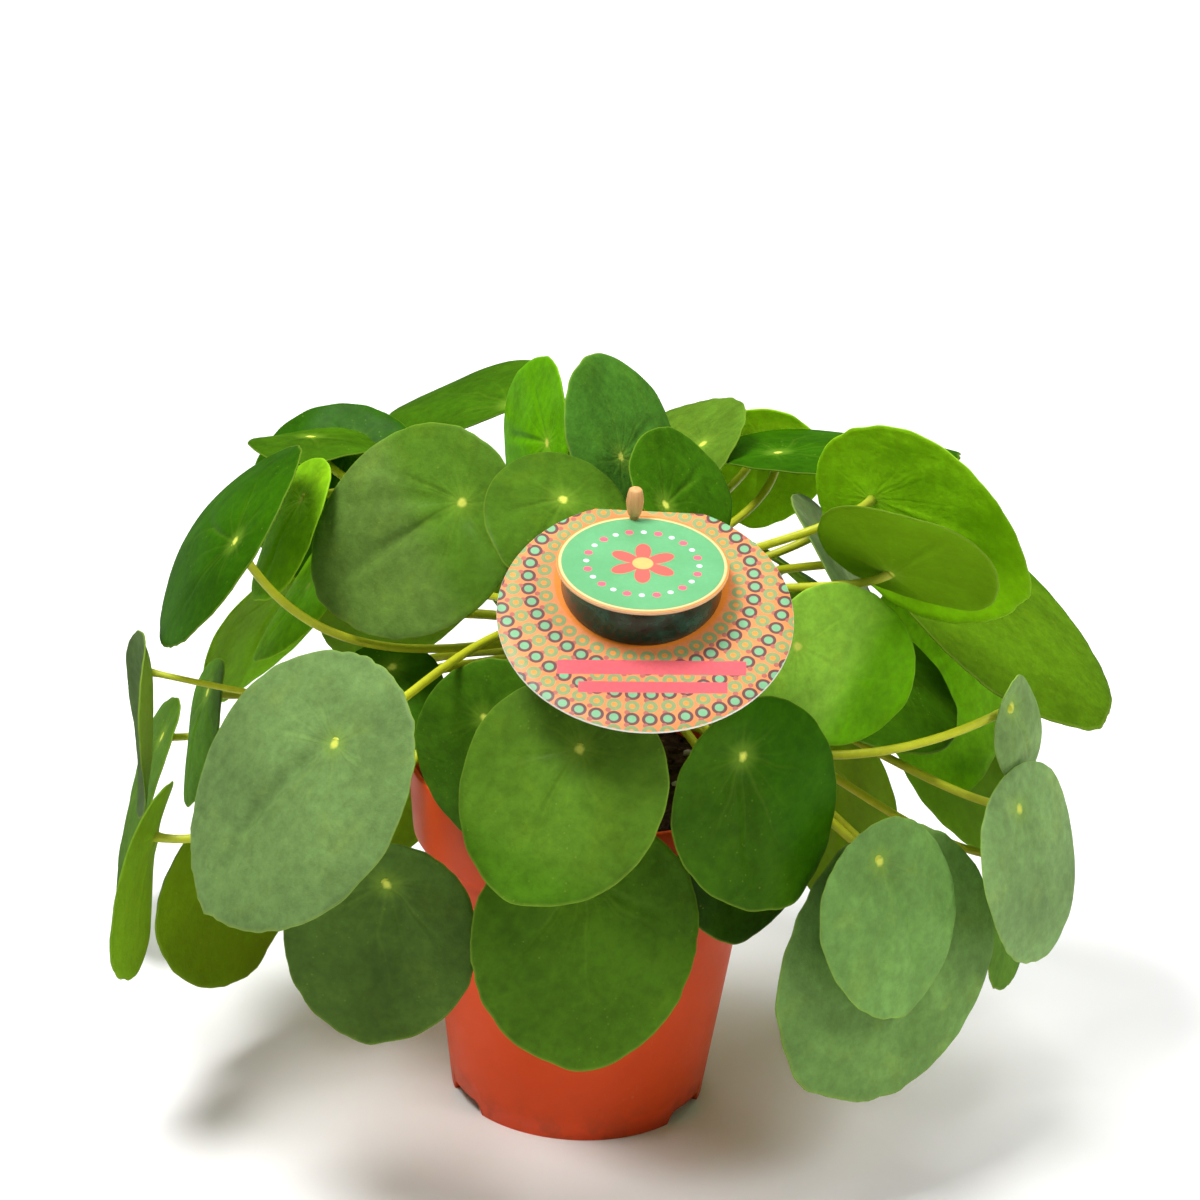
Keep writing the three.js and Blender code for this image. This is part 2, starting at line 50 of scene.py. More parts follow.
# ---------------- sizes, in millimetres
POT_HEIGHT = 120
LIP_RADIUS = 60.5
BAND_FOOT = 95  # height of the lower edge of the band under the lip
BAND_FOOT_RADIUS = 58.2
BODY_TOP = 89
BODY_TOP_RADIUS = 54.6
FOOT_RADIUS = 42.6
POT_WALL = 1.8
LIP_ROUND = 0.8
FOOT_ROUND = 0.4
FLOOR_UNDERSIDE = 4.6
FLOOR_TOP = 6.6
NOTCH_BEARINGS = (90, 210, 330)
NOTCH_HALF_WIDTH = 9.5
NOTCH_SHOULDER = 3
NOTCH_HEIGHT = 4.4
DRAIN_COUNT = 6
DRAIN_RING_RADIUS = 26
DRAIN_RADIUS = 4.2
SOIL_TOP = 108
SOIL_GAP = 0.4  # between the soil and the pot's wall
SOIL_RADIUS = BAND_FOOT_RADIUS - POT_WALL - SOIL_GAP + 0.8  # at its top, where the band is wider
SOIL_SINK = 1.2  # how much lower the soil is at the pot's wall
SOIL_LUMPS = ((1.3, 26, 5, 7), (0.8, 9, 6, 12), (0.6, 3.6, 7, 24))  # height, width, seed, number of waves
CRUMB_REACH = 54  # how far from the middle the crumbs lie
CRUMB_SIZES = (0.7, 2.1)
CRUMB_ROWS, CRUMB_SIDES = 4, 7
CRUMB_SEED = 11
PALE_CRUMBS = 9  # one crumb in so many is a pale grain
STEM_POINTS = ((2, 8, 88), (3, 9, 130), (0, 6, 167))
STEM_RADIUS = 6.2
STEM_NODES = (0.4, 0.96)  # lowest and highest place of a petiole, as shares of the stem's height
STEM_LEAVES = (60, 220)  # leaf heights that go with them
PETIOLE_RADIUS = 1.5
PETIOLE_RISE = 55  # degrees above level where it leaves the stem
PETIOLE_START = 0.34  # reach of the first and last bend, as shares of the distance
PETIOLE_END = 0.3
PETIOLE_FLARES = ((0.3, 2), (0.5, 5))  # growth and reach, under the blade and at the stem
SCARS = (0.05, 1.1)  # depth as a share of the radius, and radians for each millimetre of height
BLADE_THICKNESS = 0.95
BLADE_RIM = 0.6
BLADE_ROUND = 0.35  # how far the rim's rounding goes in
BLADE_DIMPLE = 1.2
BLADE_DIMPLE_REACH = 10
BLADE_RIPPLE = 1.0
BLADE_TIP = 0.02
BLADE_TIP_WIDTH = 0.22  # radians
BLADE_INSET = 0.976  # keeps the visible outline inside the CAD leaf's
VEIN_ANGLES = (0, 52, -56, 118, -112)  # the pressed-in veins, in degrees from the tip
VEIN_DEPTHS = (0.7, 0.3, 0.3, 0.16, 0.16)
VEIN_WIDTH = (0.7, 0.03)  # at the petiole, and its growth for each millimetre outwards
BLADE_EGG = 0.07
LUMP_FADE = (0.85, 0.7)  # how much of the lumps goes at the edge, and the share where that begins
SCALLOP_WIDTH = 9
CLEAR = 0.02  # kept between the block and the card and lid
LEAF_SEED = 100  # of the first leaf
EDGE_SEED, VEIN_SEED, TONE_SEED = 50, 300, 900  # added to the leaf's own
UV_SPAN = 160  # millimetres that one UV unit stands for, with the middle at 0.5, 0.5
CARD_CENTRE = (13.8, -74.6, 201.2)
CARD_SLOPE = 28
CARD_RADIUS = 44.6
CARD_THICKNESS = 0.9
CARD_FLAT = 41.4
CARD_ROWS = 8  # rows of printed dots, on circles round the block
CARD_FIRST_ROW = 29.6
CARD_ROW_STEP = 4.7
CARD_DOT_GAP = 5.3
CARD_RINGS = (((2.15, 0x8C9F68), (0.85, 0xE89648)), ((2.25, 0x6C4846), (1.3, 0x7CB486)))  # even and odd rows
STRIPS = (((2.5, -20.5), 28, 2.7), ((3, -28), 22, 2.1))  # plain strips: middle, half length, half width
STRIP_LEAN = 0.05
LID_CENTRE = (12.3, -68, 215)
LID_SLOPE = 12.5
LID_RADIUS = 26
LID_THICKNESS = 1.1
BLOCK_RADIUS = 24.4
PEG_THROUGH = (9.2, -44.1, 220.7)
PEG_LEAN = 8
PEG_HEAD = (1.0, 9.8)  # bottom and top of the head above the lid
PEG_LENGTH = 149.4

# ---------------- stage, in metres
FLOOR_REACH = 8.0
SENSOR_WIDTH = 36  # millimetres
LIGHTS = {  # place, aim and diameter
    "key": ((-0.55, -0.25, 1.5), (0, 0, 0.14), 0.6),
    "fill": ((1.0, -0.6, 1.1), (0, 0, 0.14), 0.6),
    "back": ((0.1, 1.3, 1.6), (0, 1.0, 0), 1.6),
}

# ---------------- leaves
# One row for each leaf: name, tone, where it meets its petiole, the bearing and lift of its upper side, the
# spin of its tip from straight downhill, length, width and offset as shares of it, dome, fold, and what its
# petiole has of its own. The same sizes as its CAD node.
LEAF_ROWS = [
    # hanging in front of the pot
    ("front_middle", "fresh", (-4, -95, 165), -114, 31, -12, 71, 0.97, 0.2, 3, 3, {"bend": (2, 6, 10)}),
    ("front_low", "leaf", (0, -84, 116), -73, 10, 0, 82, 0.92, 0.25, 3, 3,
     {"sway": (22, 0, 0), "bend": (26, 4, 22)}),
    ("front_right", "moss", (45, -90, 163), -56, 6, 21, 72, 0.85, 0.26, 2, 4),
    ("front_right_high", "spring", (61, -57, 186), -61, 6, 59, 62, 0.83, 0.28, 3, 2),
    ("front_left_low", "smoke", (-61, -85, 112), -97, -1, -6, 73, 0.86, 0.29, 3, 3,
     {"sway": (-26, 14, 0), "bend": (-14, 6, 16)}),
    ("front_left_large", "pale", (-77, -95, 163), -131, 29, -24, 95, 0.85, 0.21, 5, 3,
     {"sway": (-10, 0, 12), "bend": (-4, 0, 16)}),
    ("front_left_inner", "leaf", (-34, -53, 155), -114, 3, 36, 71, 0.92, 0.24, 3, 3),
    ("front_right_low", "black", (48, -61, 127), -62, 5, 0, 54, 0.86, 0.25, 2, 2, {"bend": (0, 0, 16)}),
    # on the right
    ("right_low_front", "grey", (90, -75, 123), -49, 11, 10, 67, 0.86, 0.3, 3, 3,
     {"sway": (6, -6, 0), "bend": (-8, -10, 22)}),
    ("right_low_large", "grey", (109, -50, 97), -53, 12, -50, 94, 0.93, 0.26, 3, 3,
     {"bend": (0, 0, 14)}),
    ("right_hanging", "mist", (136, -40, 127), -34, 12, 12, 69, 0.88, 0.3, 4, 3),
    ("right_tilted", "mist", (131.8, -30, 157.6), -25, 7, 30, 43, 0.84, 0.33, 3, 3,
     {"rise": 10, "sway": (0, -38, -20), "bend": (-6, -44, -9)}),
    ("right_low_back", "fresh", (138, 8, 87), -16, 6, 40, 78, 0.95, 0.3, 3, 3),
    ("right_wide", "sunny", (118.5, 53.5, 173), -18, 58, -23, 101.5, 0.94, 0.24, 4, 4,
     {"bend": (-10, -2, 30)}),
    ("right_under", "moss", (98, 10, 153), -27, 62, -107, 80, 0.92, 0.26, 3, 3),
    ("right_low_inner", "vivid", (111, 50, 152), -44, 25, 0, 77, 0.9, 0.25, 3, 3),
    ("right_high_back", "vivid", (85, -4, 216), 53, 16, -74, 82, 0.86, 0.23, 3, 3),
    ("right_high_small", "moss", (90, -34, 203), 60, 44, -145, 69, 0.87, 0.27, 2, 2,
     {"reach": 0.14, "bend": (-6, 8, 0)}),
    ("right_high_front", "pale", (71, 22, 194), -3, 37, -17, 64, 0.82, 0.25, 2, 2),
    # on top
    ("top_right", "deep", (57, 58, 208), 96, 82, -80, 84, 0.92, 0.26, 4, 3),
    ("top_back", "fresh", (32, 66, 207), -167, 53, -29, 80, 0.9, 0.28, 3, 3),
    ("top_edge_on", "jade", (4.5, 15, 219), -22, 30, 106, 72, 0.89, 0.12, 3, 3),
    ("top_small", "moss", (19, -22, 217), -25, 38, 93, 54, 0.82, 0.27, 2, 2),
    ("top_upright", "bright", (-19.5, 18, 221.5), -161, 8, -77, 66, 0.84, 0.23, 3, 2),
    ("top_level", "moss", (-33.5, 76, 214.4), 176, 69, -49, 68, 0.9, 0.38, 3, 2),
    ("top_front", "glade", (-13, -25.5, 218.5), -72, 57, -28, 54, 0.88, 0.14, 3, 2),
    ("top_left_inner", "fresh", (-45, -13, 211), -118, 25, -48, 78, 0.88, 0.25, 3, 3),
    # on the left
    ("left_top_back", "deep", (-86, 71, 199), -111, 42, -5, 66, 1.0, 0.26, 4, 3),
    ("left_top_middle", "moss", (-100, 64, 203.5), 112, 85, 168, 44, 1.0, 0.22, 2, 2,
     {"rise": 65, "bend": (10, -10, 12)}),
    ("left_wide", "deep", (-115, -25, 199), -172, 35, -68, 90, 0.88, 0.28, 5, 8,
     {"sway": (0, 0, -26), "bend": (0, 8, -42)}),
    ("left_edge_on", "vivid", (-98, 12, 200), -162, 26, 0, 52, 0.88, 0.2, 3, 3, {"bend": (14, 0, 26)}),
    ("left_cupped", "silver", (-144.2, -10, 146.5), -168, 0, -5, 64, 0.9, 0.31, -3, -5,
     {"petiole": 1.15, "rise": 20, "sway": (0, -16, -30), "bend": (0, -14, -6)}),
    ("left_rolled", "leaf", (-153.5, 88, 79), -172, 15, 0, 83, 0.88, 0.33, 6, 3, {"bend": (0, -6, 14)}),
    ("left_low_light", "leaf", (-138.6, -45, 105), 172, 8, 0, 69, 0.84, 0.24, 3, -2),
    ("left_low_under", "moss", (-122.8, 0.6, 81), 142, 4, -20, 78, 0.9, 0.27, 3, 3,
     {"bend": (0, 0, 36)}),
    ("left_inner_high", "vivid", (-96, 20, 167), -170, 37, 0, 70, 0.7, -0.06, 3, 3),
    ("left_inner_low", "moss", (-66, -9, 152), -100, 46, 0, 45, 0.88, 0.27, 3, 3),
    ("left_back_middle", "leaf", (-131, 36, 120), -165, 14, 20, 52, 0.9, 0.25, 3, 3),
    # behind, seen only in the gaps or not at all from the front
    ("right_top_back", "vivid", (53, 106, 197), 85, 20, 0, 54, 0.9, 0.25, 3, 2),
    ("right_back_inner", "leaf", (62, 58, 168), 30, 52, 20, 54, 0.9, 0.25, 3, 2),
    ("back_high", "leaf", (-6, 94, 155), 88, 30, 8, 72, 0.92, 0.25, 4, 3),
    ("back_left_high", "leaf", (-70, 98, 150), 122, 24, -14, 76, 0.9, 0.26, 3, 3),
    ("back_right_high", "leaf", (74, 97, 129), 55, 20, 20, 75, 0.9, 0.26, 3, 3),
    ("back_low", "leaf", (4, 104, 112), 94, 6, -6, 80, 0.92, 0.25, 3, 3),
    ("back_left_low", "leaf", (-66, 84, 92), 130, 6, 12, 76, 0.9, 0.26, 3, 3, {"bend": (0, 0, 26)}),
    ("back_left_far", "bright", (-108, 90, 140), 145, 26, 10, 72, 0.9, 0.26, 3, 3),
    ("back_right_low", "leaf", (84, 76, 88), 40, 4, -12, 78, 0.9, 0.26, 3, 3, {"bend": (0, 0, 26)}),
    ("back_right_far", "leaf", (122, 88, 104), 38, 14, -20, 76, 0.9, 0.26, 3, 3),
]
LEAF_KEYS = ("name", "tone", "at", "bearing", "lift", "spin", "length", "width", "offset", "dome", "fold")
LEAVES = [
    dict(zip(LEAF_KEYS, row), seed=LEAF_SEED + k, **dict(*row[len(LEAF_KEYS) :]))
    for k, row in enumerate(LEAF_ROWS)
]

# A side of a leaf painted lighter as painted light, or darker as painted shade, for how the light falls on it:
# its second tone, the direction in the leaf's plane (degrees from the tip towards its side) where that lies,
# and how far from the petiole the change is, in millimetres.
PAINTED_LIGHT_AND_SHADE = {
    "front_right": ("deep", 90, 0),
    "front_left_low": ("black", -121, 14),
    "top_left_inner": ("dusk", 0, 14),
    "front_middle": ("leaf", 0, 34),
    "front_right_high": ("bright", 0, 20),
    "right_wide": ("lime", 120, 30),
    "right_high_back": ("bright", 20, 24),
}
# Soft creases of some leaves: direction in degrees from the tip, curve for each millimetre along, depth and
# width in millimetres.
CREASES = {
    "front_left_large": ((-24, 0.008, 2.4, 3.2), (12, 0.0, 0.8, 6.0)),
    "front_left_low": ((1, 0.0, 1.8, 4.0), (40, -0.014, 1.6, 3.5)),
    "front_right": ((-17, 0.0, 2.2, 3.0),),
    "right_low_front": ((35, -0.014, 2.0, 3.0), (-15, 0.0, 1.4, 3.5)),
    "right_low_large": ((33, 0.0, 1.4, 5.0),),
    "top_left_inner": ((0, 0.0, 1.5, 2.6), (-38, 0.004, 1.0, 3.0), (99, -0.004, 1.0, 3.0)),
}
# Leaves that the light shines through from above: their bright tones are painted light shining through and
# belong to the lower side alone.
BRIGHT_BELOW = ("right_high_back", "back_left_far")
# The tones hold painted light and shade besides the leaves' own colours: pale, grey, mist and silver carry a
# painted sheen of the upper side, black is painted shade on leaves that lie under others, and vivid is painted
# light on leaves that lie in shade or are lit from behind.
TONES = {  # sRGB
    "black": 0x294406, "deep": 0x2A5602, "moss": 0x386008, "leaf": 0x467014, "fresh": 0x52761F,
    "lime": 0x427400, "bright": 0x5E9C02, "sunny": 0x4E780C, "vivid": 0x86C418, "grey": 0x6D8F4A,
    "pale": 0x69804A, "silver": 0x445A2C, "glade": 0x426616, "jade": 0x467A22, "spring": 0x8CC03A,
    "mist": 0x7C9A58, "dusk": 0x5E7C34, "smoke": 0x4C6826,
}


def linear(code):
    """A 24-bit sRGB colour code as three linear values."""
    srgb = np.array([code >> 16 & 255, code >> 8 & 255, code & 255]) / 255
    return np.where(srgb < 0.04045, srgb / 12.92, ((srgb + 0.055) / 1.055) ** 2.4)


def rgba(code):
    return (*map(float, linear(code)), 1.0)


def between(low, high, share):
    """The value at a share of the way from one to the other."""
    return low + (high - low) * share


def ray(angle):
    """The direction at an angle in degrees, in a plane."""
    return np.array([np.cos(np.radians(angle)), np.sin(np.radians(angle))])


# ---------------- mesh code
def closed_body(first, rings, last):
    """A closed surface from one pole over rows of rings to the other pole: a fan at each pole and four-sided
    faces between. Its outside is where the way along the rows crossed with the way round points."""
    rows, columns = rings.shape[:2]
    points = np.vstack([[first], rings.reshape(-1, 3), [last]])
    column = np.arange(columns)
    following = (column + 1) % columns
    start = 1 + columns * np.arange(rows - 1)[:, None]
    corners = (start + column, start + columns + column, start + columns + following, start + following)
    last_row = 1 + columns * (rows - 1)
    fan_first = np.stack([column * 0, 1 + column, 1 + following], axis=1)
    fan_last = np.stack([column * 0 + len(points) - 1, last_row + following, last_row + column], axis=1)
    return points, [fan_first, fan_last], [np.stack(corners, axis=2).reshape(-1, 4)]


def joined(bodies):
    """Several closed bodies as one."""
    offsets = np.cumsum([0] + [len(points) for points, _, _ in bodies])
    triangles = [t + o for (_, tris, _), o in zip(bodies, offsets) for t in tris]
    quads = [q + o for (_, _, many), o in zip(bodies, offsets) for q in many]
    return np.vstack([points for points, _, _ in bodies]), triangles, quads


def add_piece(name, body, material, slot, nodes, uv=None, **attributes):
    """Puts a body in millimetres into a new mesh object, smooth-shaded, that rides on the root body and stands
    for the named CAD nodes. uv holds millimetres from the middle of the UV map; attributes hold one value or
    one colour for each point."""
    points, triangles, quads = body
    mesh = bpy.data.meshes.new(name)
    faces = [*triangles, *quads]
    corners = np.concatenate([f.ravel() for f in faces]).astype(np.int32)
    counts = np.concatenate([np.full(len(f), f.shape[1]) for f in faces])
    mesh.vertices.add(len(points))
    mesh.vertices.foreach_set("co", (points * MM).astype(np.float32).ravel())
    mesh.loops.add(len(corners))
    mesh.loops.foreach_set("vertex_index", corners)
    mesh.polygons.add(len(counts))
    mesh.polygons.foreach_set("loop_start", (np.cumsum(counts) - counts).astype(np.int32))
    mesh.polygons.foreach_set("use_smooth", np.ones(len(counts), bool))
    if uv is not None:
        layer = mesh.uv_layers.new(name="flat")
        layer.data.foreach_set("uv", (0.5 + uv[corners] / UV_SPAN).astype(np.float32).ravel())
    for key, values in attributes.items():
        values = np.asarray(values, np.float32)
        if values.ndim == 2:
            values = np.hstack([values, np.ones((len(values), 1), np.float32)])
        kind, field = ("FLOAT_COLOR", "color") if values.ndim == 2 else ("FLOAT", "value")
        mesh.attributes.new(key, kind, "POINT").data.foreach_set(field, values.ravel())
    mesh.update(calc_edges=True)
    mesh.validate()
    mesh.materials.append(material)
    piece = bpy.data.objects.new(name, mesh)
    bpy.context.scene.collection.objects.link(piece)
    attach(piece, "root")
    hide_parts(*nodes)
    return piece


def angles(columns):
    return 2 * np.pi * np.arange(columns) / columns


def turned(radius, height, columns):
    """A turned body from a profile: each row is a circle of its radius at its height, and the first and last
    heights are its poles. radius and height may hold a value for each column as well."""
    around = angles(columns)
    shape = (len(radius), columns)
    radius, height = (np.broadcast_to(np.reshape(a, (len(a), -1)), shape) for a in (radius, height))
    rings = np.stack([radius * np.cos(around), radius * np.sin(around), height], axis=2)
    return closed_body((0, 0, height[0, 0]), rings, (0, 0, height[-1, 0]))


def tube(path, radius, sides):
    """A rod with a round section along a path: at each point a ring of the given radius, square to the path.
    The ring's side vector is carried from point to point, so that the rod doesn't twist."""
    way = np.gradient(path, axis=0)
    way /= np.linalg.norm(way, axis=1)[:, None]
    side = np.cross(way[0], (0.3, 0.5, 0.8))
    carried = np.empty_like(way)
    for k, direction in enumerate(way):
        side = side - direction * (side @ direction)
        side /= np.linalg.norm(side)
        carried[k] = side
    other = np.cross(way, carried)
    around = angles(sides)[:, None]
    circle = carried[:, None] * np.cos(around) - other[:, None] * np.sin(around)
    rings = path[:, None] + np.reshape(radius, (len(path), -1, 1)) * circle
    return closed_body(path[0], rings, path[-1])


def smooth(x, low=0.0, high=1.0):
    """0 below low, 1 above high, and 3t² - 2t³ between."""
    t = np.clip((x - low) / (high - low), 0, 1)
    return t * t * (3 - 2 * t)


def uneven(x, y, size, seed, waves=7):
    """A smooth uneven height, nearly always between -1 and 1: 1.6 times the mean of sine waves in seeded
    directions, each with a length near the given size."""
    draw = np.random.default_rng(seed)
    turn, phase = draw.uniform(0, 2 * np.pi, (2, waves))
    pitch = 2 * np.pi / (size * draw.uniform(0.6, 1.6, waves))
    reach = np.multiply.outer(x, np.cos(turn) * pitch) + np.multiply.outer(y, np.sin(turn) * pitch)
    return np.sin(reach + phase).mean(-1) * 1.6


# ---------------- leaf shapes
def leaf_axes(leaf):
    """The leaf's tip direction, side direction and normal: the normal has the leaf's bearing and lift, and the
    tip is straight downhill, turned about the normal by the spin."""
    b, l, s = np.radians([leaf["bearing"], leaf["lift"], leaf["spin"]])
    normal = np.array([np.cos(l) * np.cos(b), np.cos(l) * np.sin(b), np.sin(l)])
    downhill = np.array([np.sin(l) * np.cos(b), np.sin(l) * np.sin(b), -np.cos(l)])
    tip = downhill * np.cos(s) + np.cross(normal, downhill) * np.sin(s)
    return tip, np.cross(normal, tip), normal


def blade_height(leaf, u, v, share, around):
    """Height of the upper side over the petiole: minus dome times the square of the way along, minus fold
    times the square of the way across, a dip over the petiole, three waves round the edge, and lumps."""
    half = leaf["length"] / 2
    middle = leaf["offset"] * leaf["length"]

    def bend(a, b):
        return -leaf["dome"] * ((a - middle) / half) ** 2 - leaf["fold"] * (b / (half * leaf["width"])) ** 2

    dip = BLADE_DIMPLE * (1 - np.exp(-(u**2 + v**2) / BLADE_DIMPLE_REACH**2))
    wave = BLADE_RIPPLE * share**3 * np.sin(3 * around + leaf["length"])
    look = bpy.context.scene.money_plant_leaves
    lost, start = LUMP_FADE
    lumps = look.lumps * share**2 * (1 - lost * smooth(share, start, 1))
    lumps = lumps * uneven(u, v, look.lump_size, leaf["seed"])
    return bend(u, v) - bend(0, 0) + dip + wave + lumps - look.vein_depth * grooves(leaf, u, v, share)


def groove(u, v, angle, curve, deep, width):
    """Depth of one groove with a rounded section that leaves the petiole at an angle and curves to one side,
    and how far along it each point lies, below 0 behind the petiole."""
    x, y = ray(angle)
    along = u * x + v * y
    off = v * x - u * y - curve * along**2
    return deep * np.exp(-((off / width) ** 2)), along


def grooves(leaf, u, v, share):
    """Depth of what is pressed into the upper side: veins that widen outwards, each with a seeded change of
    angle, curve and depth, and the leaf's creases. Both fade in near the petiole and out towards the edge."""
    draw = np.random.default_rng(leaf["seed"] + VEIN_SEED)
    width = VEIN_WIDTH[0] + VEIN_WIDTH[1] * np.hypot(u, v)
    veins = 0
    for angle, deep in zip(VEIN_ANGLES, VEIN_DEPTHS):
        angle, curve = angle + draw.uniform(-8, 8), draw.uniform(-0.004, 0.004)
        depth, along = groove(u, v, angle, curve, deep * draw.uniform(0.5, 1.2), width)
        veins = veins + depth * (along > 0)
    creases = 0
    for crease in CREASES.get(leaf["name"], ()):
        depth, along = groove(u, v, *crease)
        creases = creases + depth * smooth(along, 0, 3)
    vein_fade = smooth(share, 0.04, 0.3) * (1 - smooth(share, 0.5, 0.95))
    crease_fade = smooth(share, 0.03, 0.2) * (1 - smooth(share, 0.6, 0.95))
    return veins * vein_fade + creases * crease_fade


def blade_body(leaf):
    """A peltate blade: at share s of the way from the petiole to the edge and at angle a round it,
    u = s (offset length + half length cos a + the blunt tip) and v = s half width sin a (1 - egg cos a), lifted
    by blade_height. The lower side lies one thickness below along the surface's normal."""
    look = bpy.context.scene.money_plant_leaves
    half = leaf["length"] / 2
    around = angles(look.spokes)
    x, y = np.cos(around), np.sin(around)
    face = np.linspace(0, 1, look.rings + 1)[1:] * (1 - BLADE_ROUND / half)
    share = np.concatenate([face, [1], face[::-1]])[:, None]
    under = np.concatenate([face * 0, [0.5], face * 0 + 1])[:, None]
    edge = BLADE_INSET + look.scallop * uneven(x * half, y * half, SCALLOP_WIDTH, leaf["seed"] + EDGE_SEED)
    turn = (around + np.pi) % (2 * np.pi) - np.pi
    point = BLADE_TIP * leaf["length"] * np.exp(-((turn / BLADE_TIP_WIDTH) ** 2))
    u = share * (leaf["offset"] * leaf["length"] + (half * x + point) * edge)
    v = share * half * leaf["width"] * y * (1 - BLADE_EGG * x) * edge

    def height(move_u=0.0, move_v=0.0):
        return blade_height(leaf, u + move_u, v + move_v, share, around)

    slope_u, slope_v = height(0.5) - height(-0.5), height(0, 0.5) - height(0, -0.5)
    size = np.sqrt(slope_u**2 + slope_v**2 + 1)
    depth = under * between(BLADE_THICKNESS, BLADE_RIM, smooth(share, 0.5, 1))
    flat = np.stack([u + depth * slope_u / size, v + depth * slope_v / size, height() - depth / size], axis=2)
    first, axes = np.array(leaf["at"], float), np.array(leaf_axes(leaf))
    body = closed_body(first, first + flat @ axes, first - BLADE_THICKNESS * axes[2])
    uv = np.vstack([[0, 0], flat[:, :, :2].reshape(-1, 2), [0, 0]])
    shares, unders = (
        np.concatenate([[start], np.broadcast_to(values, u.shape).ravel(), [end]])
        for start, values, end in ((0, share, 0), (0, under, 1))
    )
    return body, uv, shares, unders


def blade_tone(leaf, uv, under):
    """The leaf's colour at each point: its tone, going over on one side to a second tone of painted light or
    painted shade if it has one, with a small seeded change from leaf to leaf. A leaf lit from behind has its
    bright tone, painted light shining through, on the lower side alone."""
    draw = np.random.default_rng(leaf["seed"] + TONE_SEED)
    tone = linear(TONES[leaf["tone"]]) * draw.uniform(0.93, 1.07, 3)
    colour = np.broadcast_to(tone, (len(uv), 3))
    # painted light and painted shade: one side of the leaf goes over to a lighter or darker tone
    if leaf["name"] in PAINTED_LIGHT_AND_SHADE:
        second, direction, start = PAINTED_LIGHT_AND_SHADE[leaf["name"]]
        share = smooth(uv @ ray(direction), start - 6, start + 10)[:, None]
        colour = between(colour, linear(TONES[second]), share)
    # painted light: the lower side of a leaf lit from behind takes its bright tone, the upper side the plain
    # leaf tone
    if leaf["name"] in BRIGHT_BELOW:
        colour = np.where(under[:, None] > 0, colour, linear(TONES["leaf"]))
    return colour


# ---------------- stem shapes
def stem_point(share):
    """A point of the stem's middle line at a share of its height: the parabola through its three points."""
    low, bend, high = np.array(STEM_POINTS, float)
    a, b, c = low[2], bend[2], high[2]
    z = between(a, c, np.asarray(share, float)[..., None])
    return (
        low * (z - b) * (z - c) / ((a - b) * (a - c))
        + bend * (z - a) * (z - c) / ((b - a) * (b - c))
        + high * (z - a) * (z - b) / ((c - a) * (c - b))
    )


def petiole_path(leaf, count):
    """A cubic Bezier curve from the stem to just inside the blade's lower side: it leaves the stem at its rise
    above level, and arrives along the blade's normal, each bend moved by what the leaf has of its own."""
    at = np.array(leaf["at"], float)
    normal = leaf_axes(leaf)[2]
    height = np.clip((at[2] - STEM_LEAVES[0]) / (STEM_LEAVES[1] - STEM_LEAVES[0]), 0, 1)
    root = stem_point(between(*STEM_NODES, height))
    distance = np.linalg.norm(at - root)
    level = (at - root) * (1, 1, 0)
    level /= np.linalg.norm(level)
    rise = np.radians(leaf.get("rise", PETIOLE_RISE))
    start = level * np.cos(rise) + np.array([0, 0, np.sin(rise)])
    first = root + start * PETIOLE_START * distance + leaf.get("sway", (0, 0, 0))
    last = at - normal * leaf.get("reach", PETIOLE_END) * distance + leaf.get("bend", (0, 0, 0))
    arrival = (at - last) / np.linalg.norm(at - last)
    end = at - arrival * 0.6 * BLADE_THICKNESS / max(arrival @ normal, 0.3)
    t = np.linspace(0, 1, count)[:, None]
    return (1 - t) ** 3 * root + 3 * (1 - t) ** 2 * t * first + 3 * (1 - t) * t**2 * last + t**3 * end


def petiole_body(leaf, count=44, sides=10):
    """A petiole: its radius grows over the last 3 mm under the blade and over the first 7 mm at the stem."""
    path = petiole_path(leaf, count)
    run = np.concatenate([[0], np.cumsum(np.linalg.norm(np.diff(path, axis=0), axis=1))])
    (blade_flare, blade_reach), (stem_flare, stem_reach) = PETIOLE_FLARES
    flares = blade_flare * np.exp((run - run[-1]) / blade_reach) + stem_flare * np.exp(-run / stem_reach)
    radius = leaf.get("petiole", PETIOLE_RADIUS) * (1.02 - 0.1 * run / run[-1] + flares)
    return tube(path, radius, sides), np.concatenate([[0], np.repeat(run / run[-1], sides), [1]])


def stem_body(count=90, sides=28):
    """The stem: a rod with a ring-shaped leaf scar every few millimetres and low lumps, closed by a dome."""
    share = np.linspace(0, 1, count)
    path = stem_point(share)
    around = angles(sides)
    z = path[:, 2:3]
    scars = SCARS[0] * np.sin(z * SCARS[1] + 1.5 * np.sin(around + z * 0.05))
    scars = scars + 0.03 * uneven(z + 0 * around, around * 6, 5, 3)
    dome = np.sqrt(np.clip(1 - smooth(share, 0.93, 1.0) ** 2, 0.02, 1))[:, None]
    return tube(path, STEM_RADIUS * (0.97 + scars) * dome, sides)


# ---------------- pot and soil shapes
def body_radius(z):
    return between(FOOT_RADIUS, BODY_TOP_RADIUS, z / BODY_TOP)


def notch_height(around):
    """Height of the foot's lower edge: it rises into a flat arch at each notch."""
    height = np.zeros_like(around)
    for bearing in np.radians(NOTCH_BEARINGS):
        off = np.abs((around - bearing + np.pi) % (2 * np.pi) - np.pi) * FOOT_RADIUS
        ramp = np.clip((NOTCH_HALF_WIDTH - off) / NOTCH_SHOULDER, 0, 1)
        height = np.maximum(height, NOTCH_HEIGHT * np.sqrt(1 - (1 - ramp) ** 2))
    return height


